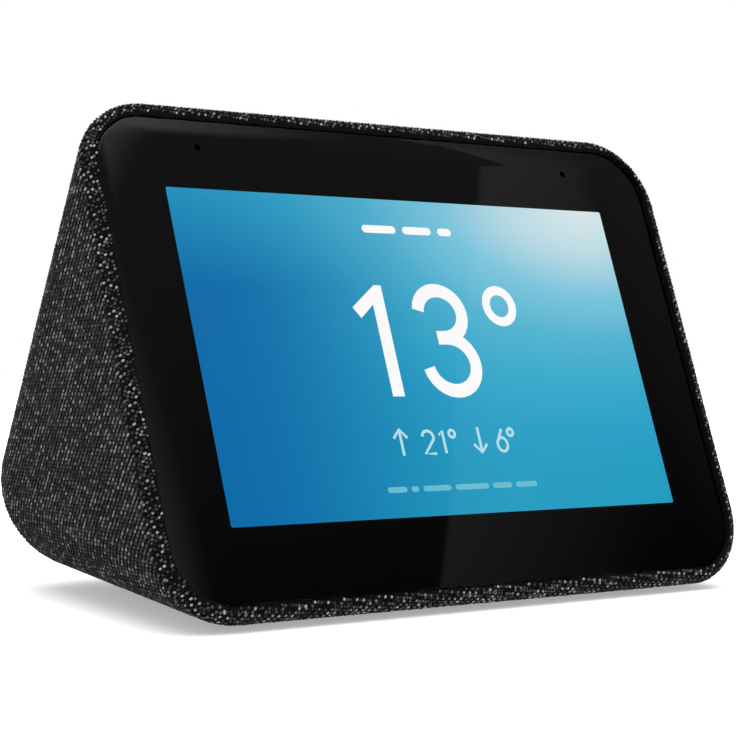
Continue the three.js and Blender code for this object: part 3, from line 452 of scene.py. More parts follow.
def grain(name, sides=5):
    """One float of yarn along x: a fat lens with pointed ends."""
    points = [(-float_long / 2, 0, 0)]
    for x in (-0.28, 0.28):
        for side in range(sides):
            turn = 2 * math.pi * side / sides
            out, above = float_wide / 2 * math.cos(turn), float_high / 2 * math.sin(turn)
            points.append((x * float_long, out, above))
    points.append((float_long / 2, 0, 0))
    faces = []
    last = len(points) - 1
    for side in range(sides):
        a, b = 1 + side, 1 + (side + 1) % sides
        faces += [(0, b, a), (a, b, b + sides, a + sides), (last, a + sides, b + sides)]
    made = new_piece(name, points, faces)
    made.data.shade_smooth()
    return upright(made)


rim_lean = {
    "top": (face_out + back_out).normalized(),
    "bottom": (face_out + Vector((0, 0, -1))).normalized(),
    "left": (face_out + Vector((-1, 0, 0))).normalized(),
    "right": (face_out + Vector((1, 0, 0))).normalized(),
}
rear_out = (back_out + Vector((0, 0, -1))).normalized()
reach, stand_off = 130 * mm, 100 * mm
regions = {
    "rim_front": (face_out, face_place, 0),
    "rim_top": (rim_lean["top"], face_place, 0),
    "rim_bottom": (rim_lean["bottom"], face_place, 0),
    "rim_left": (rim_lean["left"], face_place, 0),
    "rim_right": (rim_lean["right"], face_place, 0),
    "side_left": (Vector((-1, 0, 0)), Vector((0, 0, 0.035)), 0),
    "side_right": (Vector((1, 0, 0)), Vector((0, 0, 0.035)), 0),
    "back_left": (back_out, Vector((0, 0.015, 0.045)), -1),
    "back_right": (back_out, Vector((0, 0.015, 0.045)), 1),
    "rear": (rear_out, Vector((0, 0.02, 0.015)), 0),
    "underside": (Vector((0, 0, -1)), Vector((0, 0, 0.02)), 0),
}

yarns = bpy.data.node_groups.new("yarn floats", "GeometryNodeTree")
inputs = {
    "Object": ("Wedge", "Openings kept", "Float"), "Material": ("Material",),
    "Vector": ("Outward", "Run", "Place"), "Rotation": ("Turn",),
    "Float": ("Reach", "Row step", "Float step", "Half", "Twill", "Length", "Fleck", "Wale"),
    "Int": ("Seed",),
}
for kind, names in inputs.items():
    for name in names:
        yarns.interface.new_socket(name, in_out="INPUT", socket_type=f"NodeSocket{kind}")
yarns.interface.new_socket("Geometry", in_out="OUTPUT", socket_type="NodeSocketGeometry")
given = yarns.nodes.new("NodeGroupInput").outputs


def maths(operation, *values):
    return wire(yarns, "ShaderNodeMath", dict(enumerate(values)), operation=operation).outputs[0]


def vector_maths(operation, *values, output=0):
    return wire(yarns, "ShaderNodeVectorMath", dict(enumerate(values)), operation=operation).outputs[output]


columns = maths("ADD", maths("FLOOR", maths("DIVIDE", given["Reach"], given["Float step"])), 1.0)
rows = maths("ADD", maths("FLOOR", maths("DIVIDE", given["Reach"], given["Row step"])), 1.0)
grid = wire(yarns, "GeometryNodeMeshGrid", {"Size X": given["Reach"], "Size Y": given["Reach"],
                                            "Vertices X": columns, "Vertices Y": rows})
index = wire(yarns, "GeometryNodeInputIndex").outputs[0]
row = maths("MODULO", index, rows)
twill = maths("FRACT", maths("MULTIPLY", row, given["Twill"]))
light_row = maths("GREATER_THAN", maths("MODULO", row, 2.0), 0.5)


def random_vector(low, high, later=0):
    """A random vector for each yarn; every draw takes a later seed."""
    seed = maths("ADD", given["Seed"], float(later))
    return wire(yarns, "FunctionNodeRandomValue", {"Min": low, "Max": high, "Seed": seed},
                data_type="FLOAT_VECTOR").outputs["Value"]


slack_along, slack_across = 0.07 * mm, 0.03 * mm
scatter = random_vector((-slack_along, -slack_across, 0.0), (slack_along, slack_across, 0.0))
shift = wire(yarns, "ShaderNodeCombineXYZ", {"X": maths("MULTIPLY", twill, given["Float step"])})
moved = wire(yarns, "GeometryNodeSetPosition", {
    "Geometry": grid.outputs["Mesh"], "Offset": vector_maths("ADD", shift.outputs[0], scatter)})
chance = wire(yarns, "FunctionNodeRandomValue", {2: 0.0, 3: 1.0, "Seed": maths("ADD", given["Seed"], 1.0)},
              data_type="FLOAT").outputs[1]
lifted = maths("POWER", chance, 1.6)
wale_tone = maths("MULTIPLY", light_row, given["Wale"])
tone_value = maths("ADD", maths("MULTIPLY", lifted, given["Fleck"]), wale_tone)
shaded = wire(yarns, "GeometryNodeStoreNamedAttribute", {
    "Geometry": moved.outputs[0], "Name": "shade", "Value": tone_value}, data_type="FLOAT", domain="POINT")
laid = wire(yarns, "GeometryNodeTransform", {
    "Geometry": shaded.outputs[0], "Translation": given["Place"], "Rotation": given["Turn"]})
inward = vector_maths("SCALE", given["Outward"])
inward.node.inputs["Scale"].default_value = -1.0


def cast(target):
    body = wire(yarns, "GeometryNodeObjectInfo", {"Object": given[target]}).outputs["Geometry"]
    return wire(yarns, "GeometryNodeRaycast", {
        "Target Geometry": body, "Ray Direction": inward, "Ray Length": 1.0})


on_wedge, on_kept = cast("Wedge"), cast("Openings kept")
stray = vector_maths("DISTANCE", on_wedge.outputs["Hit Position"], on_kept.outputs["Hit Position"],
                     output="Value")
close = maths("LESS_THAN", stray, 0.02 * mm)
best = None
for region in regions.values():
    facing = vector_maths("DOT_PRODUCT", on_wedge.outputs["Hit Normal"], tuple(region[0]), output="Value")
    best = facing if best is None else maths("MAXIMUM", best, facing)
own = vector_maths("DOT_PRODUCT", on_wedge.outputs["Hit Normal"], given["Outward"], output="Value")
chosen = maths("LESS_THAN", maths("SUBTRACT", best, own), 1e-4)
across = wire(yarns, "ShaderNodeSeparateXYZ", {0: on_wedge.outputs["Hit Position"]}).outputs["X"]
same_half = maths("GREATER_THAN", maths("MULTIPLY", across, given["Half"]), -1e-9)
hit_half = maths("MULTIPLY", same_half, on_wedge.outputs["Is Hit"])
kept = maths("MULTIPLY", maths("MULTIPLY", close, chosen), hit_half)
turned = wire(yarns, "GeometryNodeStoreNamedAttribute", {
    "Geometry": laid.outputs[0], "Name": "outward", "Value": on_wedge.outputs["Hit Normal"]},
    data_type="FLOAT_VECTOR", domain="POINT")
culled = wire(yarns, "GeometryNodeDeleteGeometry", {
    "Geometry": turned.outputs[0], "Selection": maths("LESS_THAN", kept, 0.5)}, domain="POINT")
dropped = wire(yarns, "GeometryNodeSetPosition", {
    "Geometry": culled.outputs[0], "Position": on_wedge.outputs["Hit Position"]})
normal = wire(yarns, "GeometryNodeInputNamedAttribute", {"Name": "outward"},
              data_type="FLOAT_VECTOR").outputs[0]
sway = 0.12
heading = vector_maths("ADD", given["Run"], random_vector((-sway,) * 3, (sway,) * 3, 2))
stance = wire(yarns, "FunctionNodeAxesToRotation", {0: normal, 1: heading}, primary_axis="Z",
              secondary_axis="X")
size = random_vector((0.82, 0.85, 0.8), (1.08, 1.12, 1.15), 3)
lengthened = wire(yarns, "ShaderNodeCombineXYZ", {"X": given["Length"], "Y": 1.0, "Z": 1.0})
one_float = wire(yarns, "GeometryNodeObjectInfo", {"Object": given["Float"]}).outputs["Geometry"]
planted = wire(yarns, "GeometryNodeInstanceOnPoints", {
    "Points": dropped.outputs[0], "Instance": one_float, "Rotation": stance.outputs[0],
    "Scale": vector_maths("MULTIPLY", size, lengthened.outputs[0])})
real = wire(yarns, "GeometryNodeRealizeInstances", {"Geometry": planted.outputs[0]})
finished = wire(yarns, "GeometryNodeSetMaterial", {
    "Geometry": real.outputs[0], "Material": given["Material"]})
wire(yarns, "NodeGroupOutput", {0: finished.outputs[0]})

whole = wedge("whole", 0.12 * mm)
kept_off = wedge("kept_off", 0.12 * mm)
carve(kept_off, openings(kept_clear))
one = grain("one_float")
sockets = {item.name: item.identifier for item in yarns.interface.items_tree if item.in_out == "INPUT"}
# Rims and sides share one cloth. The rim's larger Fleck makes its yarns lighter: painted light, the rim
# painted brighter where it faces the light. Its shorter floats and tighter rows are the weave's own.
rim_knots_painted_lighter = {"Twill": 0.5, "Length": 0.68, "Fleck": 0.6, "Wale": 0.38}
corded = {"Twill": 0.37, "Length": 1.0, "Fleck": 0.42, "Wale": 0.4}
bias = math.radians(45)
for number, (region, (outward, middle, half)) in enumerate(regions.items()):
    flat = Vector((1, 0, 0)) if abs(outward.x) < 0.6 else Vector((0, 1, 0))
    level = (flat - outward * flat.dot(outward)).normalized()
    up = outward.cross(level)
    run = level * math.cos(bias) + up * math.sin(bias)
    if outward.x > 0.6:
        run = level * math.cos(bias) - up * math.sin(bias)
    crossing = outward.cross(run)
    turn = Matrix((run, crossing, outward)).transposed()
    on_rim = region.startswith("rim")
    tight = 0.88 if on_rim else 1.0
    piece = new_piece(f"yarn_{region}", [(0, 0, 0)], [])
    weaving = piece.modifiers.new("yarns", "NODES")
    weaving.node_group = yarns
    for name, value in {
        "Wedge": whole, "Openings kept": kept_off, "Float": one, "Material": yarn_look,
        "Outward": outward, "Run": run, "Turn": turn.to_euler(), "Place": middle + outward * stand_off,
        "Reach": reach, "Row step": row_step * tight, "Float step": float_step * tight,
        "Half": float(half), "Seed": 10 * number, **(rim_knots_painted_lighter if on_rim else corded),
    }.items():
        weaving[sockets[name]] = value
    apply_all(piece)
    piece.data.shade_smooth()
    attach(piece, "cabinet")
discard(whole, kept_off, one)
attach(skin, "cabinet")
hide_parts("fabric_cover")


# -------------------- cover glass
# A clear glass sheet with rounded corners and a ground edge, bored for two microphones and bonded
# flush into the cloth's opening. Its back is printed black round a clear window.

glass_thick, print_front, print_rear = 0.55 * mm, 0.5 * mm, 1.1 * mm
screen_wide, screen_tall = 86.4 * mm, 51.84 * mm
mic_x, mic_up, mic_radius = 36.5 * mm, 32.5 * mm, 0.55 * mm


def mic_bores():
    return [plate(f"bore_{side}", disc(mic_radius, side * mic_x, mic_up, 32), -1 * mm, 3 * mm, face)
            for side in (-1, 1)]


glass_look, tree, shader = material("clear glass", Roughness=0.02, Transmission_Weight=1.0, IOR=1.5)
place = wire(tree, "ShaderNodeTexCoord").outputs["Object"]
haze = wire(tree, "ShaderNodeTexNoise", {"Vector": place, "Scale": 60.0, "Detail": 2.0})
tint = wire(tree, "ShaderNodeMix", {0: haze.outputs[0], 6: (0.985, 0.99, 0.99, 1), 7: (1, 1, 1, 1)},
            data_type="RGBA")
tree.links.new(tint.outputs[2], shader.inputs["Base Color"])
glass = plate("cover_glass_clear", centred(glass_wide, glass_tall, glass_corner, steps=24), 0, glass_thick,
              face, glass_look, edge=0.25 * mm, rear_edge=0.03 * mm)
soften(carve(glass, mic_bores()), 40)
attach(glass, "cabinet")
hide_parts("cover_glass")

ink_look, tree, shader = material("black print", Roughness=0.6, Specular_IOR_Level=0.0)
place = wire(tree, "ShaderNodeTexCoord").outputs["Object"]
mottle = wire(tree, "ShaderNodeTexNoise", {"Vector": place, "Scale": 900.0, "Detail": 2.0})
ink = wire(tree, "ShaderNodeMapRange", {"Value": mottle.outputs[0], "To Min": 0.0006, "To Max": 0.0012})
tree.links.new(ink.outputs[0], shader.inputs["Base Color"])
window = plate("window", centred(screen_wide, screen_tall, 0.3 * mm, steps=4), -1 * mm, 3 * mm, face)
print_shape = centred(glass_wide - 0.1 * mm, glass_tall - 0.1 * mm, glass_corner, steps=24)
ink_layer = plate("glass_print", print_shape, print_front, print_rear, face, ink_look, edge=0.02 * mm)
soften(carve(ink_layer, mic_bores() + [window]), 40)
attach(ink_layer, "cabinet")


# -------------------- lit picture
# The liquid crystal panel's picture area, seen through the window: a blue sky glowing palest at its
# upper right. It is a thin plate bonded behind the glass.

picture_front = 0.5 * mm


def light_of(red, green, blue):
    """A display colour, 0 to 255, as linear light."""
    steps = [value / 255 for value in (red, green, blue)]
    return tuple((v / 12.92 if v < 0.04045 else ((v + 0.055) / 1.055) ** 2.4) for v in steps) + (1.0,)


sky_look, tree, shader = material("display sky", Roughness=0.4, Specular_IOR_Level=0.0)
shader.inputs["Base Color"].default_value = (0, 0, 0, 1)


def sky_maths(operation, *values):
    return wire(tree, "ShaderNodeMath", dict(enumerate(values)), operation=operation).outputs[0]


spot = wire(tree, "ShaderNodeSeparateXYZ", {0: wire(tree, "ShaderNodeUVMap", uv_map="screen").outputs[0]})
along, down = spot.outputs["X"], spot.outputs["Y"]
from_sun_x = sky_maths("SUBTRACT", along, 0.95)
from_sun_y = sky_maths("MULTIPLY", down, 1.2)
from_sun = sky_maths("SQRT", sky_maths("ADD", sky_maths("MULTIPLY", from_sun_x, from_sun_x),
                                       sky_maths("MULTIPLY", from_sun_y, from_sun_y)))
sky_steps = ((0, (214, 228, 230)), (0.18, (184, 215, 224)), (0.36, (122, 193, 217)), (0.54, (80, 177, 206)),
             (0.72, (54, 167, 200)), (0.9, (40, 158, 196)), (1.1, (34, 154, 190)))
sky_reach = 1.2
ramp = wire(tree, "ShaderNodeValToRGB", {0: sky_maths("DIVIDE", from_sun, sky_reach)})
ramp.color_ramp.elements[0].color = light_of(*sky_steps[0][1])
ramp.color_ramp.elements[1].color = light_of(*sky_steps[-1][1])
ramp.color_ramp.elements[1].position = sky_steps[-1][0] / sky_reach
for spot_at, colour in sky_steps[1:-1]:
    ramp.color_ramp.elements.new(spot_at / sky_reach).color = light_of(*colour)
to_left = wire(tree, "ShaderNodeMapRange", {"Value": along, "From Max": 0.66, "To Min": 1.0, "To Max": 0.0},
               interpolation_type="SMOOTHSTEP").outputs[0]
deepness = wire(tree, "ShaderNodeMapRange", {"Value": down, "From Max": 0.3, "To Min": 0.35}).outputs[0]
deep = wire(tree, "ShaderNodeMix", {0: sky_maths("MULTIPLY", to_left, deepness), 6: ramp.outputs[0],
                                    7: light_of(10, 105, 165)}, data_type="RGBA")
tree.links.new(deep.outputs[2], shader.inputs["Emission Color"])
shader.inputs["Emission Strength"].default_value = 1.08
picture_shape = centred(screen_wide - 0.02 * mm, screen_tall - 0.02 * mm, 0.3 * mm, steps=4)
picture = plate("display_picture", picture_shape, picture_front, print_rear, face, sky_look)
to_face = face.inverted()
chart = picture.data.uv_layers.new(name="screen")
for loop in picture.data.loops:
    spot_on = to_face @ picture.data.vertices[loop.vertex_index].co
    chart.data[loop.index].uv = (spot_on.x / screen_wide + 0.5, 0.5 - spot_on.z / screen_tall)
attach(picture, "cabinet")


# -------------------- lit figures
# The plain figures the display shows: a large temperature with its ring, and a small row under it.
# Each is a thin lit plate on the picture. Lines of words are shown only as plain rounded bars.

figure_front, figure_rear = 0.45 * mm, 0.51 * mm
chart_wide = 1000
unit = screen_wide / chart_wide


def lit(name, colour, strength):
    look, tree, shader = material(name, Roughness=0.4, Specular_IOR_Level=0.0)
    shader.inputs["Base Color"].default_value = (0, 0, 0, 1)
    place = wire(tree, "ShaderNodeTexCoord").outputs["Object"]
    grid = wire(tree, "ShaderNodeTexNoise", {"Vector": place, "Scale": 3000.0})
    glow_level = wire(tree, "ShaderNodeMapRange", {"Value": grid.outputs[0], "To Min": strength * 0.97,
                                                   "To Max": strength * 1.03})
    shader.inputs["Emission Color"].default_value = light_of(*colour)
    tree.links.new(glow_level.outputs[0], shader.inputs["Emission Strength"])
    return look


white_look = lit("lit figures", (255, 255, 255), 1.0)
pale_look = lit("pale lit figures", (190, 232, 242), 0.95)
dim_look = lit("dim lit figures", (112, 196, 218), 0.95)


def on_screen(points):
    """Chart places, in thousandths of the screen's width from its upper left, in the face's frame."""
    return [((x - chart_wide / 2) * unit, screen_tall / 2 - z * unit) for x, z in points]


def stroke(points, width, closed=False):
    """The outline of a line of a width drawn through points, square at its ends."""
    count = len(points)
    left, right = [], []
    for index, point in enumerate(points):
        before = points[(index - 1) % count if closed else max(index - 1, 0)]
        after = points[(index + 1) % count if closed else min(index + 1, count - 1)]
        run = Vector((after[0] - before[0], after[1] - before[1])).normalized()
        out = Vector((-run.y, run.x)) * width / 2
        left.append((point[0] + out.x, point[1] + out.y))
        right.append((point[0] - out.x, point[1] - out.y))
    return left, right


def arc(x, z, wide, tall, start, end, steps=20):
    turns = [math.radians(start + (end - start) * step / steps) for step in range(steps + 1)]
    return [(x + wide * math.cos(turn), z + tall * math.sin(turn)) for turn in turns]


def lit_line(name, points, width, look, closed=False):
    left, right = stroke(points, width, closed)
    count = len(points)
    corners = [face @ Vector((x, depth, z)) for depth in (figure_front, figure_rear)
               for x, z in on_screen(left + right)]
    faces, far = [], 2 * count
    for step in range(count if closed else count - 1):
        a, b = step, (step + 1) % count
        c, d = a + count, b + count
        faces += [(a, b, d, c), (a + far, c + far, d + far, b + far),
                  (a, a + far, b + far, b), (c, d, d + far, c + far)]
    if not closed:
        end = count - 1
        faces += [(0, count, count + far, far), (end, far + end, far + count + end, count + end)]
    return upright(new_piece(name, corners, faces, look))


def lit_outline(name, points, look):
    return plate(name, lambda inset: on_screen(points), figure_front, figure_rear, face, look)


heavy = 26
one_points = [(386, 380), (386, 207), (354, 233), (339, 213), (396, 170), (412, 170), (412, 380)]
upper_bowl = lit_line("upper", arc(534, 223, 50, 46, 188, 450), heavy, white_look)
lower_bowl = lit_line("lower", [(516, 269)] + arc(536, 320, 55, 51, -90, 172), heavy, white_look)
ring = lit_line("figure_ring", arc(680, 205, 31, 31, 0, 351, 39), 18, white_look, closed=True)
small = 5.5


def small_digits(text, x, top, tall=42, wide=25, gap=7):
    """Plain digits drawn as open lines: only those the display needs."""
    drawn = []
    for letter in text:
        w, h = wide, tall
        shapes = {
            "1": [[(w * 0.25, h * 0.2), (w * 0.6, 0), (w * 0.6, h)]],
            "2": [arc(w / 2, h * 0.28, w / 2, h * 0.28, 190, 380, 10) + [(0, h), (w, h)]],
            "6": [[(w * 0.66, 0), (w * 0.1, h * 0.55)], arc(w / 2, h * 0.69, w * 0.46, h * 0.31, 0, 340, 17)],
            "o": [arc(w * 0.3, h * 0.15, w * 0.27, w * 0.27, 0, 337.5, 15)],
        }[letter]
        for shape in shapes:
            drawn.append(([(x + px, top + pz) for px, pz in shape], len(shape) > 14))
        x += w + gap if letter == "2" else w + gap / 2
    return drawn


small_lines = [([(382, 489), (382, 444)], False), ([(367, 457), (382, 441), (397, 457)], False),
               ([(559, 440), (559, 485)], False), ([(544, 472), (559, 488), (574, 472)], False)]
small_lines += small_digits("21o", 430, 445) + small_digits("6o", 598, 445)
figures = [("figure_one", lit_outline("one", one_points, white_look)), ("figure_three_upper", upper_bowl),
           ("figure_three_lower", lower_bowl), ("figure_ring", ring)]
for number, (points, closed) in enumerate(small_lines):
    shape = lit_line(f"small_{number}", points, small, pale_look, closed)
    figures.append((f"figure_small_{number + 1}", shape))
heading = ((398, 474), (490, 556), (572, 604))
footer = ((330, 372), (382, 398), (408, 470), (480, 556), (566, 610), (620, 670))
for row, bars, down_at, tall, look in (("heading", heading, 60, 15, white_look),
                                       ("footer", footer, 550, 10, dim_look)):
    for number, (left, right) in enumerate(bars):
        outline = rounded_outline(left, right, down_at - tall / 2, down_at + tall / 2, tall / 2.01, 5)
        figures.append((f"figure_{row}_{number + 1}", lit_outline(f"{row}_{number}", outline, look)))
for name, figure in figures:
    figure.name = name
    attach(figure, "cabinet")


# -------------------- volume buttons
# Two round moulded rubber buttons in the sloping back, softly dished, each with a raised sign. They
# press straight in, square to the slope.

cap_flange, flange_back, plunger_tip = 2.7 * mm, 3.7 * mm, 4.3 * mm
button_proud, button_edge, dish = 0.8 * mm, 0.4 * mm, 0.32 * mm
flange_radius, plunger_radius = 5.6 * mm, 1.5 * mm


def lathe(name, profile, place, look, steps=64):
    """Turns a profile of (radius, height) round the y axis of a frame. Points on the axis close it."""
    points, rings = [], []
    for radius, height in profile:
        if radius <= 0:
            rings.append([len(points)])
            points.append(place @ Vector((0, height, 0)))
        else:
            rings.append(list(range(len(points), len(points) + steps)))
            points += [place @ Vector((radius * math.cos(2 * math.pi * k / steps), height,
                                       radius * math.sin(2 * math.pi * k / steps))) for k in range(steps)]
    faces = []
    closed = profile[0][0] > 0
    pairs = list(zip(rings, rings[1:])) + ([(rings[-1], rings[0])] if closed else [])
    for first, second in pairs:
        for k in range(steps):
            n = (k + 1) % steps
            corners = [loop[step % len(loop)] for loop, step in (
                (first, k), (first, n), (second, n), (second, k))]
            faces.append(tuple(dict.fromkeys(corners)))
    return upright(new_piece(name, points, faces, look))


def fillet(radius, height, size, start, end, steps=6):
    """Points on an arc of a size about a (radius, height), between two angles."""
    turns = [math.radians(start + (end - start) * step / steps) for step in range(steps + 1)]
    return [(radius + size * math.cos(turn), height + size * math.sin(turn)) for turn in turns]


rubber_look, tree, shader = material("button rubber", Roughness=0.62, Specular_IOR_Level=0.35)
place = wire(tree, "ShaderNodeTexCoord").outputs["Object"]
dust = wire(tree, "ShaderNodeTexNoise", {"Vector": place, "Scale": 1500.0, "Detail": 3.0})
level = wire(tree, "ShaderNodeMapRange", {"Value": dust.outputs[0], "To Min": 0.006, "To Max": 0.016})
tree.links.new(level.outputs[0], shader.inputs["Base Color"])
grip = wire(tree, "ShaderNodeBump", {"Height": dust.outputs[0], "Strength": 0.3, "Distance": 0.03 * mm})
tree.links.new(grip.outputs[0], shader.inputs["Normal"])

sign_look, tree, shader = material("sign rubber", Roughness=0.6, Specular_IOR_Level=0.3)
place = wire(tree, "ShaderNodeTexCoord").outputs["Object"]
dust = wire(tree, "ShaderNodeTexNoise", {"Vector": place, "Scale": 1500.0, "Detail": 3.0})
level = wire(tree, "ShaderNodeMapRange", {"Value": dust.outputs[0], "To Min": 0.07, "To Max": 0.11})
tree.links.new(level.outputs[0], shader.inputs["Base Color"])

for side, name in ((-1, "down"), (1, "up")):
    at = back @ Matrix.Translation((side * control_x, 0, control_up))
    dish_radius = button_radius - button_edge
    profile = [(0, -plunger_tip), (plunger_radius, -plunger_tip), (plunger_radius, -flange_back),
               (flange_radius, -flange_back), (flange_radius, -cap_flange), (button_radius, -cap_flange)]
    profile += fillet(dish_radius, button_proud - button_edge, button_edge, 0, 90)
    for step in range(1, 9):
        share = 1 - step / 8
        profile.append((dish_radius * share, button_proud - dish * (1 - share ** 2)))
    cap = soften(lathe(f"volume_{name}_cap", profile, at, rubber_look), 35)
    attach(cap, f"volume_{name}")
    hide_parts(f"volume_{name}_button")
    sign_long, sign_wide = 3 * mm, 0.55 * mm
    sign_from, sign_to = button_proud - 0.5 * mm, button_proud - 0.02 * mm
    signs = [(sign_long, sign_wide, 0)] + ([(sign_wide, sign_long, 0.01 * mm)] if name == "up" else [])
    for number, (wide, tall, lower) in enumerate(signs):
        shape = centred(wide, tall, sign_wide / 2.1, steps=6)
        bar = plate(f"volume_{name}_sign_{number + 1}", shape, sign_from, sign_to - lower, at, sign_look,
                    rear_edge=0.06 * mm)
        soften(bar, 40)
        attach(bar, f"volume_{name}")


# -------------------- mute slider
# A small moulded knob with three grip ribs, sliding sideways in a slot between the buttons.

knob_proud, mute_back, mute_flange, knob_lap = 0.6 * mm, 3.6 * mm, 2 * mm, 0.5 * mm
at = back @ Matrix.Translation((-mute_travel / 2, 0, control_up))
knob_shape = centred(knob_wide, knob_tall, knob_tall / 2 - 0.1 * mm)
knob = [
    plate("knob", knob_shape, -cap_flange - knob_lap, knob_proud - 0.15 * mm, at, rubber_look, edge=0.0,
          rear_edge=0.3 * mm),
    plate("knob_flange", centred(knob_wide + 2 * mute_flange, knob_tall + 2 * mute_flange, 0.9 * mm),
          -mute_back, -cap_flange, at, rubber_look),
]
rib_step, rib_wide, rib_tall = 1.0 * mm, 0.36 * mm, 1.5 * mm
for step in (-1, 0, 1):
    rib_shape = centred(rib_wide, rib_tall, 0.17 * mm, x=step * rib_step, steps=5)
    knob.append(plate("rib", rib_shape, 0, knob_proud, at, rubber_look))
slider = knob[0]
slider.name = "mute_knob"
soften(carve(slider, knob[1:], "UNION"), 40)
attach(slider, "mute")
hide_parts("mute_slider")


# -------------------- port panel
# A moulded tray let into the rear, its rim following the cloth. A steel USB socket and a moulded
# power socket with a steel pin look out through its floor.

port_wall, port_floor, port_floor_y, port_proud = 1 * mm, 1.2 * mm, 33.5 * mm, 0.2 * mm
socket_corner, socket_gap = 0.5 * mm, 0.3 * mm
usb_x, usb_z, usb_wide, usb_tall, usb_deep, usb_wall = (v * mm for v in (-10, 13.75, 13.1, 5.7, 12, 0.4))
power_x, power_z, power_size, power_deep = (v * mm for v in (11, 15.4, 9, 11))
power_bore, power_pin, power_bore_deep = (v * mm for v in (3.15, 1, 9.5))


def shared_grain():
    """A node group giving a fine grain: a level and a normal, from a place, a scale and a depth."""
    group = bpy.data.node_groups.new("fine grain", "ShaderNodeTree")
    for name, kind in (("Place", "Vector"), ("Scale", "Float"), ("Depth", "Float")):
        group.interface.new_socket(name, in_out="INPUT", socket_type=f"NodeSocket{kind}")
    for name, kind in (("Level", "Float"), ("Normal", "Vector")):
        group.interface.new_socket(name, in_out="OUTPUT", socket_type=f"NodeSocket{kind}")
    given = group.nodes.new("NodeGroupInput").outputs
    noise = wire(group, "ShaderNodeTexNoise", {
        "Vector": given["Place"], "Scale": given["Scale"], "Detail": 3.0})
    bump = wire(group, "ShaderNodeBump", {
        "Height": noise.outputs[0], "Distance": given["Depth"], "Strength": 0.5})
    wire(group, "NodeGroupOutput", {"Level": noise.outputs[0], "Normal": bump.outputs[0]})
    return group


grain_group = shared_grain()


def grained(name, dark, light, scale, depth, stretch=(1, 1, 1), **sockets):
    """A material whose colour wanders between two with a fine grain that also roughens it."""
    look, tree, shader = material(name, **sockets)
    place = wire(tree, "ShaderNodeTexCoord").outputs["Object"]
    drawn = wire(tree, "ShaderNodeMapping", {"Vector": place, "Scale": stretch})
    grain_node = wire(tree, "ShaderNodeGroup", node_tree=grain_group)
    tree.links.new(drawn.outputs[0], grain_node.inputs["Place"])
    grain_node.inputs["Scale"].default_value = scale
    grain_node.inputs["Depth"].default_value = depth
    colour = wire(tree, "ShaderNodeMix", {0: grain_node.outputs["Level"], 6: (*dark, 1), 7: (*light, 1)},
                  data_type="RGBA")
    tree.links.new(colour.outputs[2], shader.inputs["Base Color"])
    tree.links.new(grain_node.outputs["Normal"], shader.inputs["Normal"])
    return look


panel_look = grained("port moulding", (0.008, 0.008, 0.009), (0.02, 0.02, 0.021),
                     1400, 0.03 * mm, Roughness=0.55)
steel_look = grained("sheet steel", (0.35, 0.36, 0.37), (0.55, 0.56, 0.58),
                     900, 0.01 * mm, (1, 8, 1), Metallic=1.0,
                     Roughness=0.35)
chip_look = grained("moulded chip", (0.01, 0.01, 0.011), (0.024, 0.024, 0.025),
                    2600, 0.01 * mm, Roughness=0.5)
screw_look = grained("plated screw", (0.4, 0.41, 0.43), (0.62, 0.63, 0.66), 2200, 0.005 * mm, Metallic=1.0,
                     Roughness=0.3)


def tub(name, margin, front, rear, look=None):
    return plate(name, port_outline(margin), front, rear, upright_y, look)


def socket_place(x, z, y=0.0):
    return Matrix.Translation((x, y, z))


def window_round(name, wide, tall, x, z):
    """A body that cuts the panel's window round a socket."""
    shape = centred(wide + 2 * socket_gap, tall + 2 * socket_gap, socket_corner + socket_gap)
    return plate(name, shape, 0, body_deep, socket_place(x, z))


panel = carve(tub("port_tray", 0, port_floor_y - port_floor, body_deep, panel_look),
              [wedge("trim", -port_proud)], "INTERSECT")
carve(panel, [
    plate("pocket", port_outline(-port_wall), port_floor_y, body_deep, upright_y),
    window_round("usb_window", usb_wide, usb_tall, usb_x, usb_z),
    window_round("power_window", power_size, power_size, power_x, power_z),
])
soften(panel, 35)
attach(panel, "cabinet")
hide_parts("port_panel")

at = socket_place(usb_x, usb_z, port_floor_y)
usb = plate("usb_shell", centred(usb_wide, usb_tall, socket_corner), -usb_deep, 0, at, steel_look,
            rear_edge=0.12 * mm)
carve(usb, [plate("room", centred(usb_wide - 2 * usb_wall, usb_tall - 2 * usb_wall, 0.3 * mm),
                  1 * mm - usb_deep, usb_deep, at)])
soften(usb, 40)
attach(usb, "cabinet")
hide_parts("usb_socket")
tongue = plate("usb_tongue", centred(usb_wide - 2.4 * mm, 1.8 * mm, 0.2 * mm, z=0.9 * mm, steps=4),
               0.6 * mm - usb_deep, -1 * mm, at, chip_look, rear_edge=0.2 * mm)
soften(tongue, 40)
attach(tongue, "cabinet")
for number, x in enumerate((-3.5, -1, 1, 3.5)):
    shape = centred(1 * mm, 0.2 * mm, 0.05 * mm, x * mm, -0.02 * mm, 3)
    contact = plate(f"usb_contact_{number + 1}", shape, 1.5 * mm - usb_deep, -1.4 * mm, at, screw_look)
    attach(contact, "cabinet")

at = socket_place(power_x, power_z, port_floor_y)
power = plate("power_block", centred(power_size, power_size, socket_corner), -power_deep, 0, at, chip_look,
              rear_edge=0.25 * mm)
carve(power, [plate("bore", disc(power_bore), -power_bore_deep, power_deep, at)])
soften(power, 40)
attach(power, "cabinet")
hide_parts("power_socket")
pin_profile = [(0, -power_bore_deep - 0.4 * mm), (power_pin, -power_bore_deep - 0.4 * mm)]
pin_profile += fillet(power_pin - 0.35 * mm, -1.35 * mm, 0.35 * mm, 0, 90) + [(0, -1 * mm)]
pin = soften(lathe("power_pin", pin_profile, at, screw_look, 32), 40)
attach(pin, "cabinet")


# -------------------- rubber foot
# A soft moulded mat glued under the base plate, with a rounded rim and a shallow ring groove.

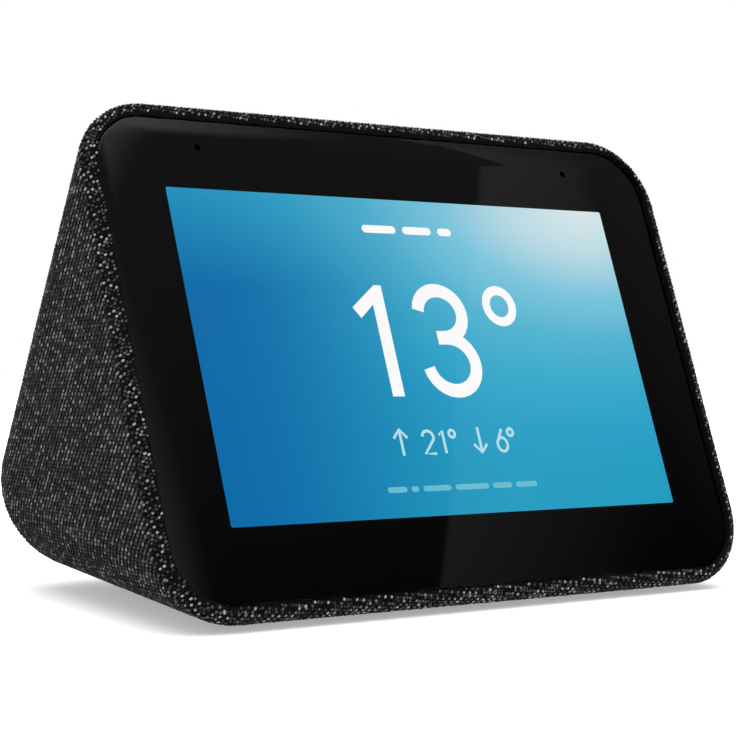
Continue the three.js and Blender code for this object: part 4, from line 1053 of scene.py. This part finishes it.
foot_thick, foot_margin, foot_edge = 2.1 * mm, 1.5 * mm, 0.5 * mm
groove_in, groove_wide, groove_deep = 3 * mm, 1 * mm, 0.4 * mm
foot_look = grained("foot rubber", (0.012, 0.012, 0.012), (0.03, 0.03, 0.03),
                    1100, 0.04 * mm, Roughness=0.8)
foot = plate("foot_mat", lambda inset: base_plan(foot_margin + inset), 0, foot_thick, lying, foot_look,
             edge=foot_edge, rear_edge=0.1 * mm)
groove_rim = foot_margin + groove_in
island = plate("island", lambda inset: base_plan(groove_rim + groove_wide), -2 * mm, foot_thick, lying)
groove = carve(plate("groove", lambda inset: base_plan(groove_rim), -1 * mm, groove_deep, lying), [island])
soften(carve(foot, [groove]), 35)
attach(foot, "cabinet")
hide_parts("rubber_foot")


# -------------------- inside parts
# Everything behind the skin keeps its shape and gets the finish of what it is made of: moulded
# plastic, stamped steel, solder-masked board, copper-orange ribbon, felted paper, ferrite.

board_look, tree, shader = material("circuit board", Roughness=0.35, Specular_IOR_Level=0.5)
place = wire(tree, "ShaderNodeTexCoord").outputs["Object"]
tracks = wire(tree, "ShaderNodeTexBrick", {"Vector": place, "Scale": 400.0, "Mortar Size": 0.03,
                                           "Color1": (0.006, 0.06, 0.03, 1),
                                           "Color2": (0.008, 0.075, 0.036, 1),
                                           "Mortar": (0.02, 0.13, 0.07, 1)})
tree.links.new(tracks.outputs[0], shader.inputs["Base Color"])
looks = {
    "shell_plastic": grained("shell plastic", (0.012, 0.012, 0.013), (0.028, 0.028, 0.03), 1000, 0.03 * mm,
                             Roughness=0.6),
    "tape": grained("foam tape", (0.01, 0.01, 0.01), (0.03, 0.03, 0.03), 3000, 0.05 * mm, Roughness=0.9),
    "lcd_glass": grained("panel back", (0.02, 0.022, 0.025), (0.04, 0.042, 0.048),
                         500, 0.005 * mm, Roughness=0.15),
    "sheet_steel": steel_look,
    "circuit_board": board_look,
    "thermal_pad": grained("thermal pad", (0.2, 0.26, 0.3), (0.28, 0.34, 0.38),
                           1500, 0.04 * mm, Roughness=0.85),
    "aluminium": grained("rolled aluminium", (0.6, 0.61, 0.62), (0.75, 0.76, 0.77),
                         700, 0.01 * mm, (1, 1, 12),
                         Metallic=1.0, Roughness=0.4),
    "ribbon": grained("ribbon cable", (0.3, 0.12, 0.02), (0.42, 0.18, 0.04), 600, 0.01 * mm, (1, 1, 6),
                      Roughness=0.35),
    "chip_plastic": chip_look,
    "seal_rubber": grained("roll rubber", (0.01, 0.01, 0.01), (0.022, 0.022, 0.022),
                           1300, 0.03 * mm, Roughness=0.7),
    "magnet": grained("ferrite", (0.03, 0.03, 0.032), (0.06, 0.06, 0.063), 1600, 0.05 * mm, Roughness=0.7),
    "cone_paper": grained("felted paper", (0.02, 0.02, 0.019), (0.06, 0.058, 0.054), 2200, 0.08 * mm,
                          Roughness=0.95),
    "port_plastic": panel_look,
    "foot_rubber": foot_look,
    "screw_steel": screw_look,
    "button_rubber": rubber_look,
    "cover_glass": glass_look,
    "fabric": ground_look,
}
for subpart in frame["record"]["subparts"]:
    solid = frame["nodes"][subpart["node"]]
    solid.data.materials.clear()
    solid.data.materials.append(looks[subpart["material_slot"]])
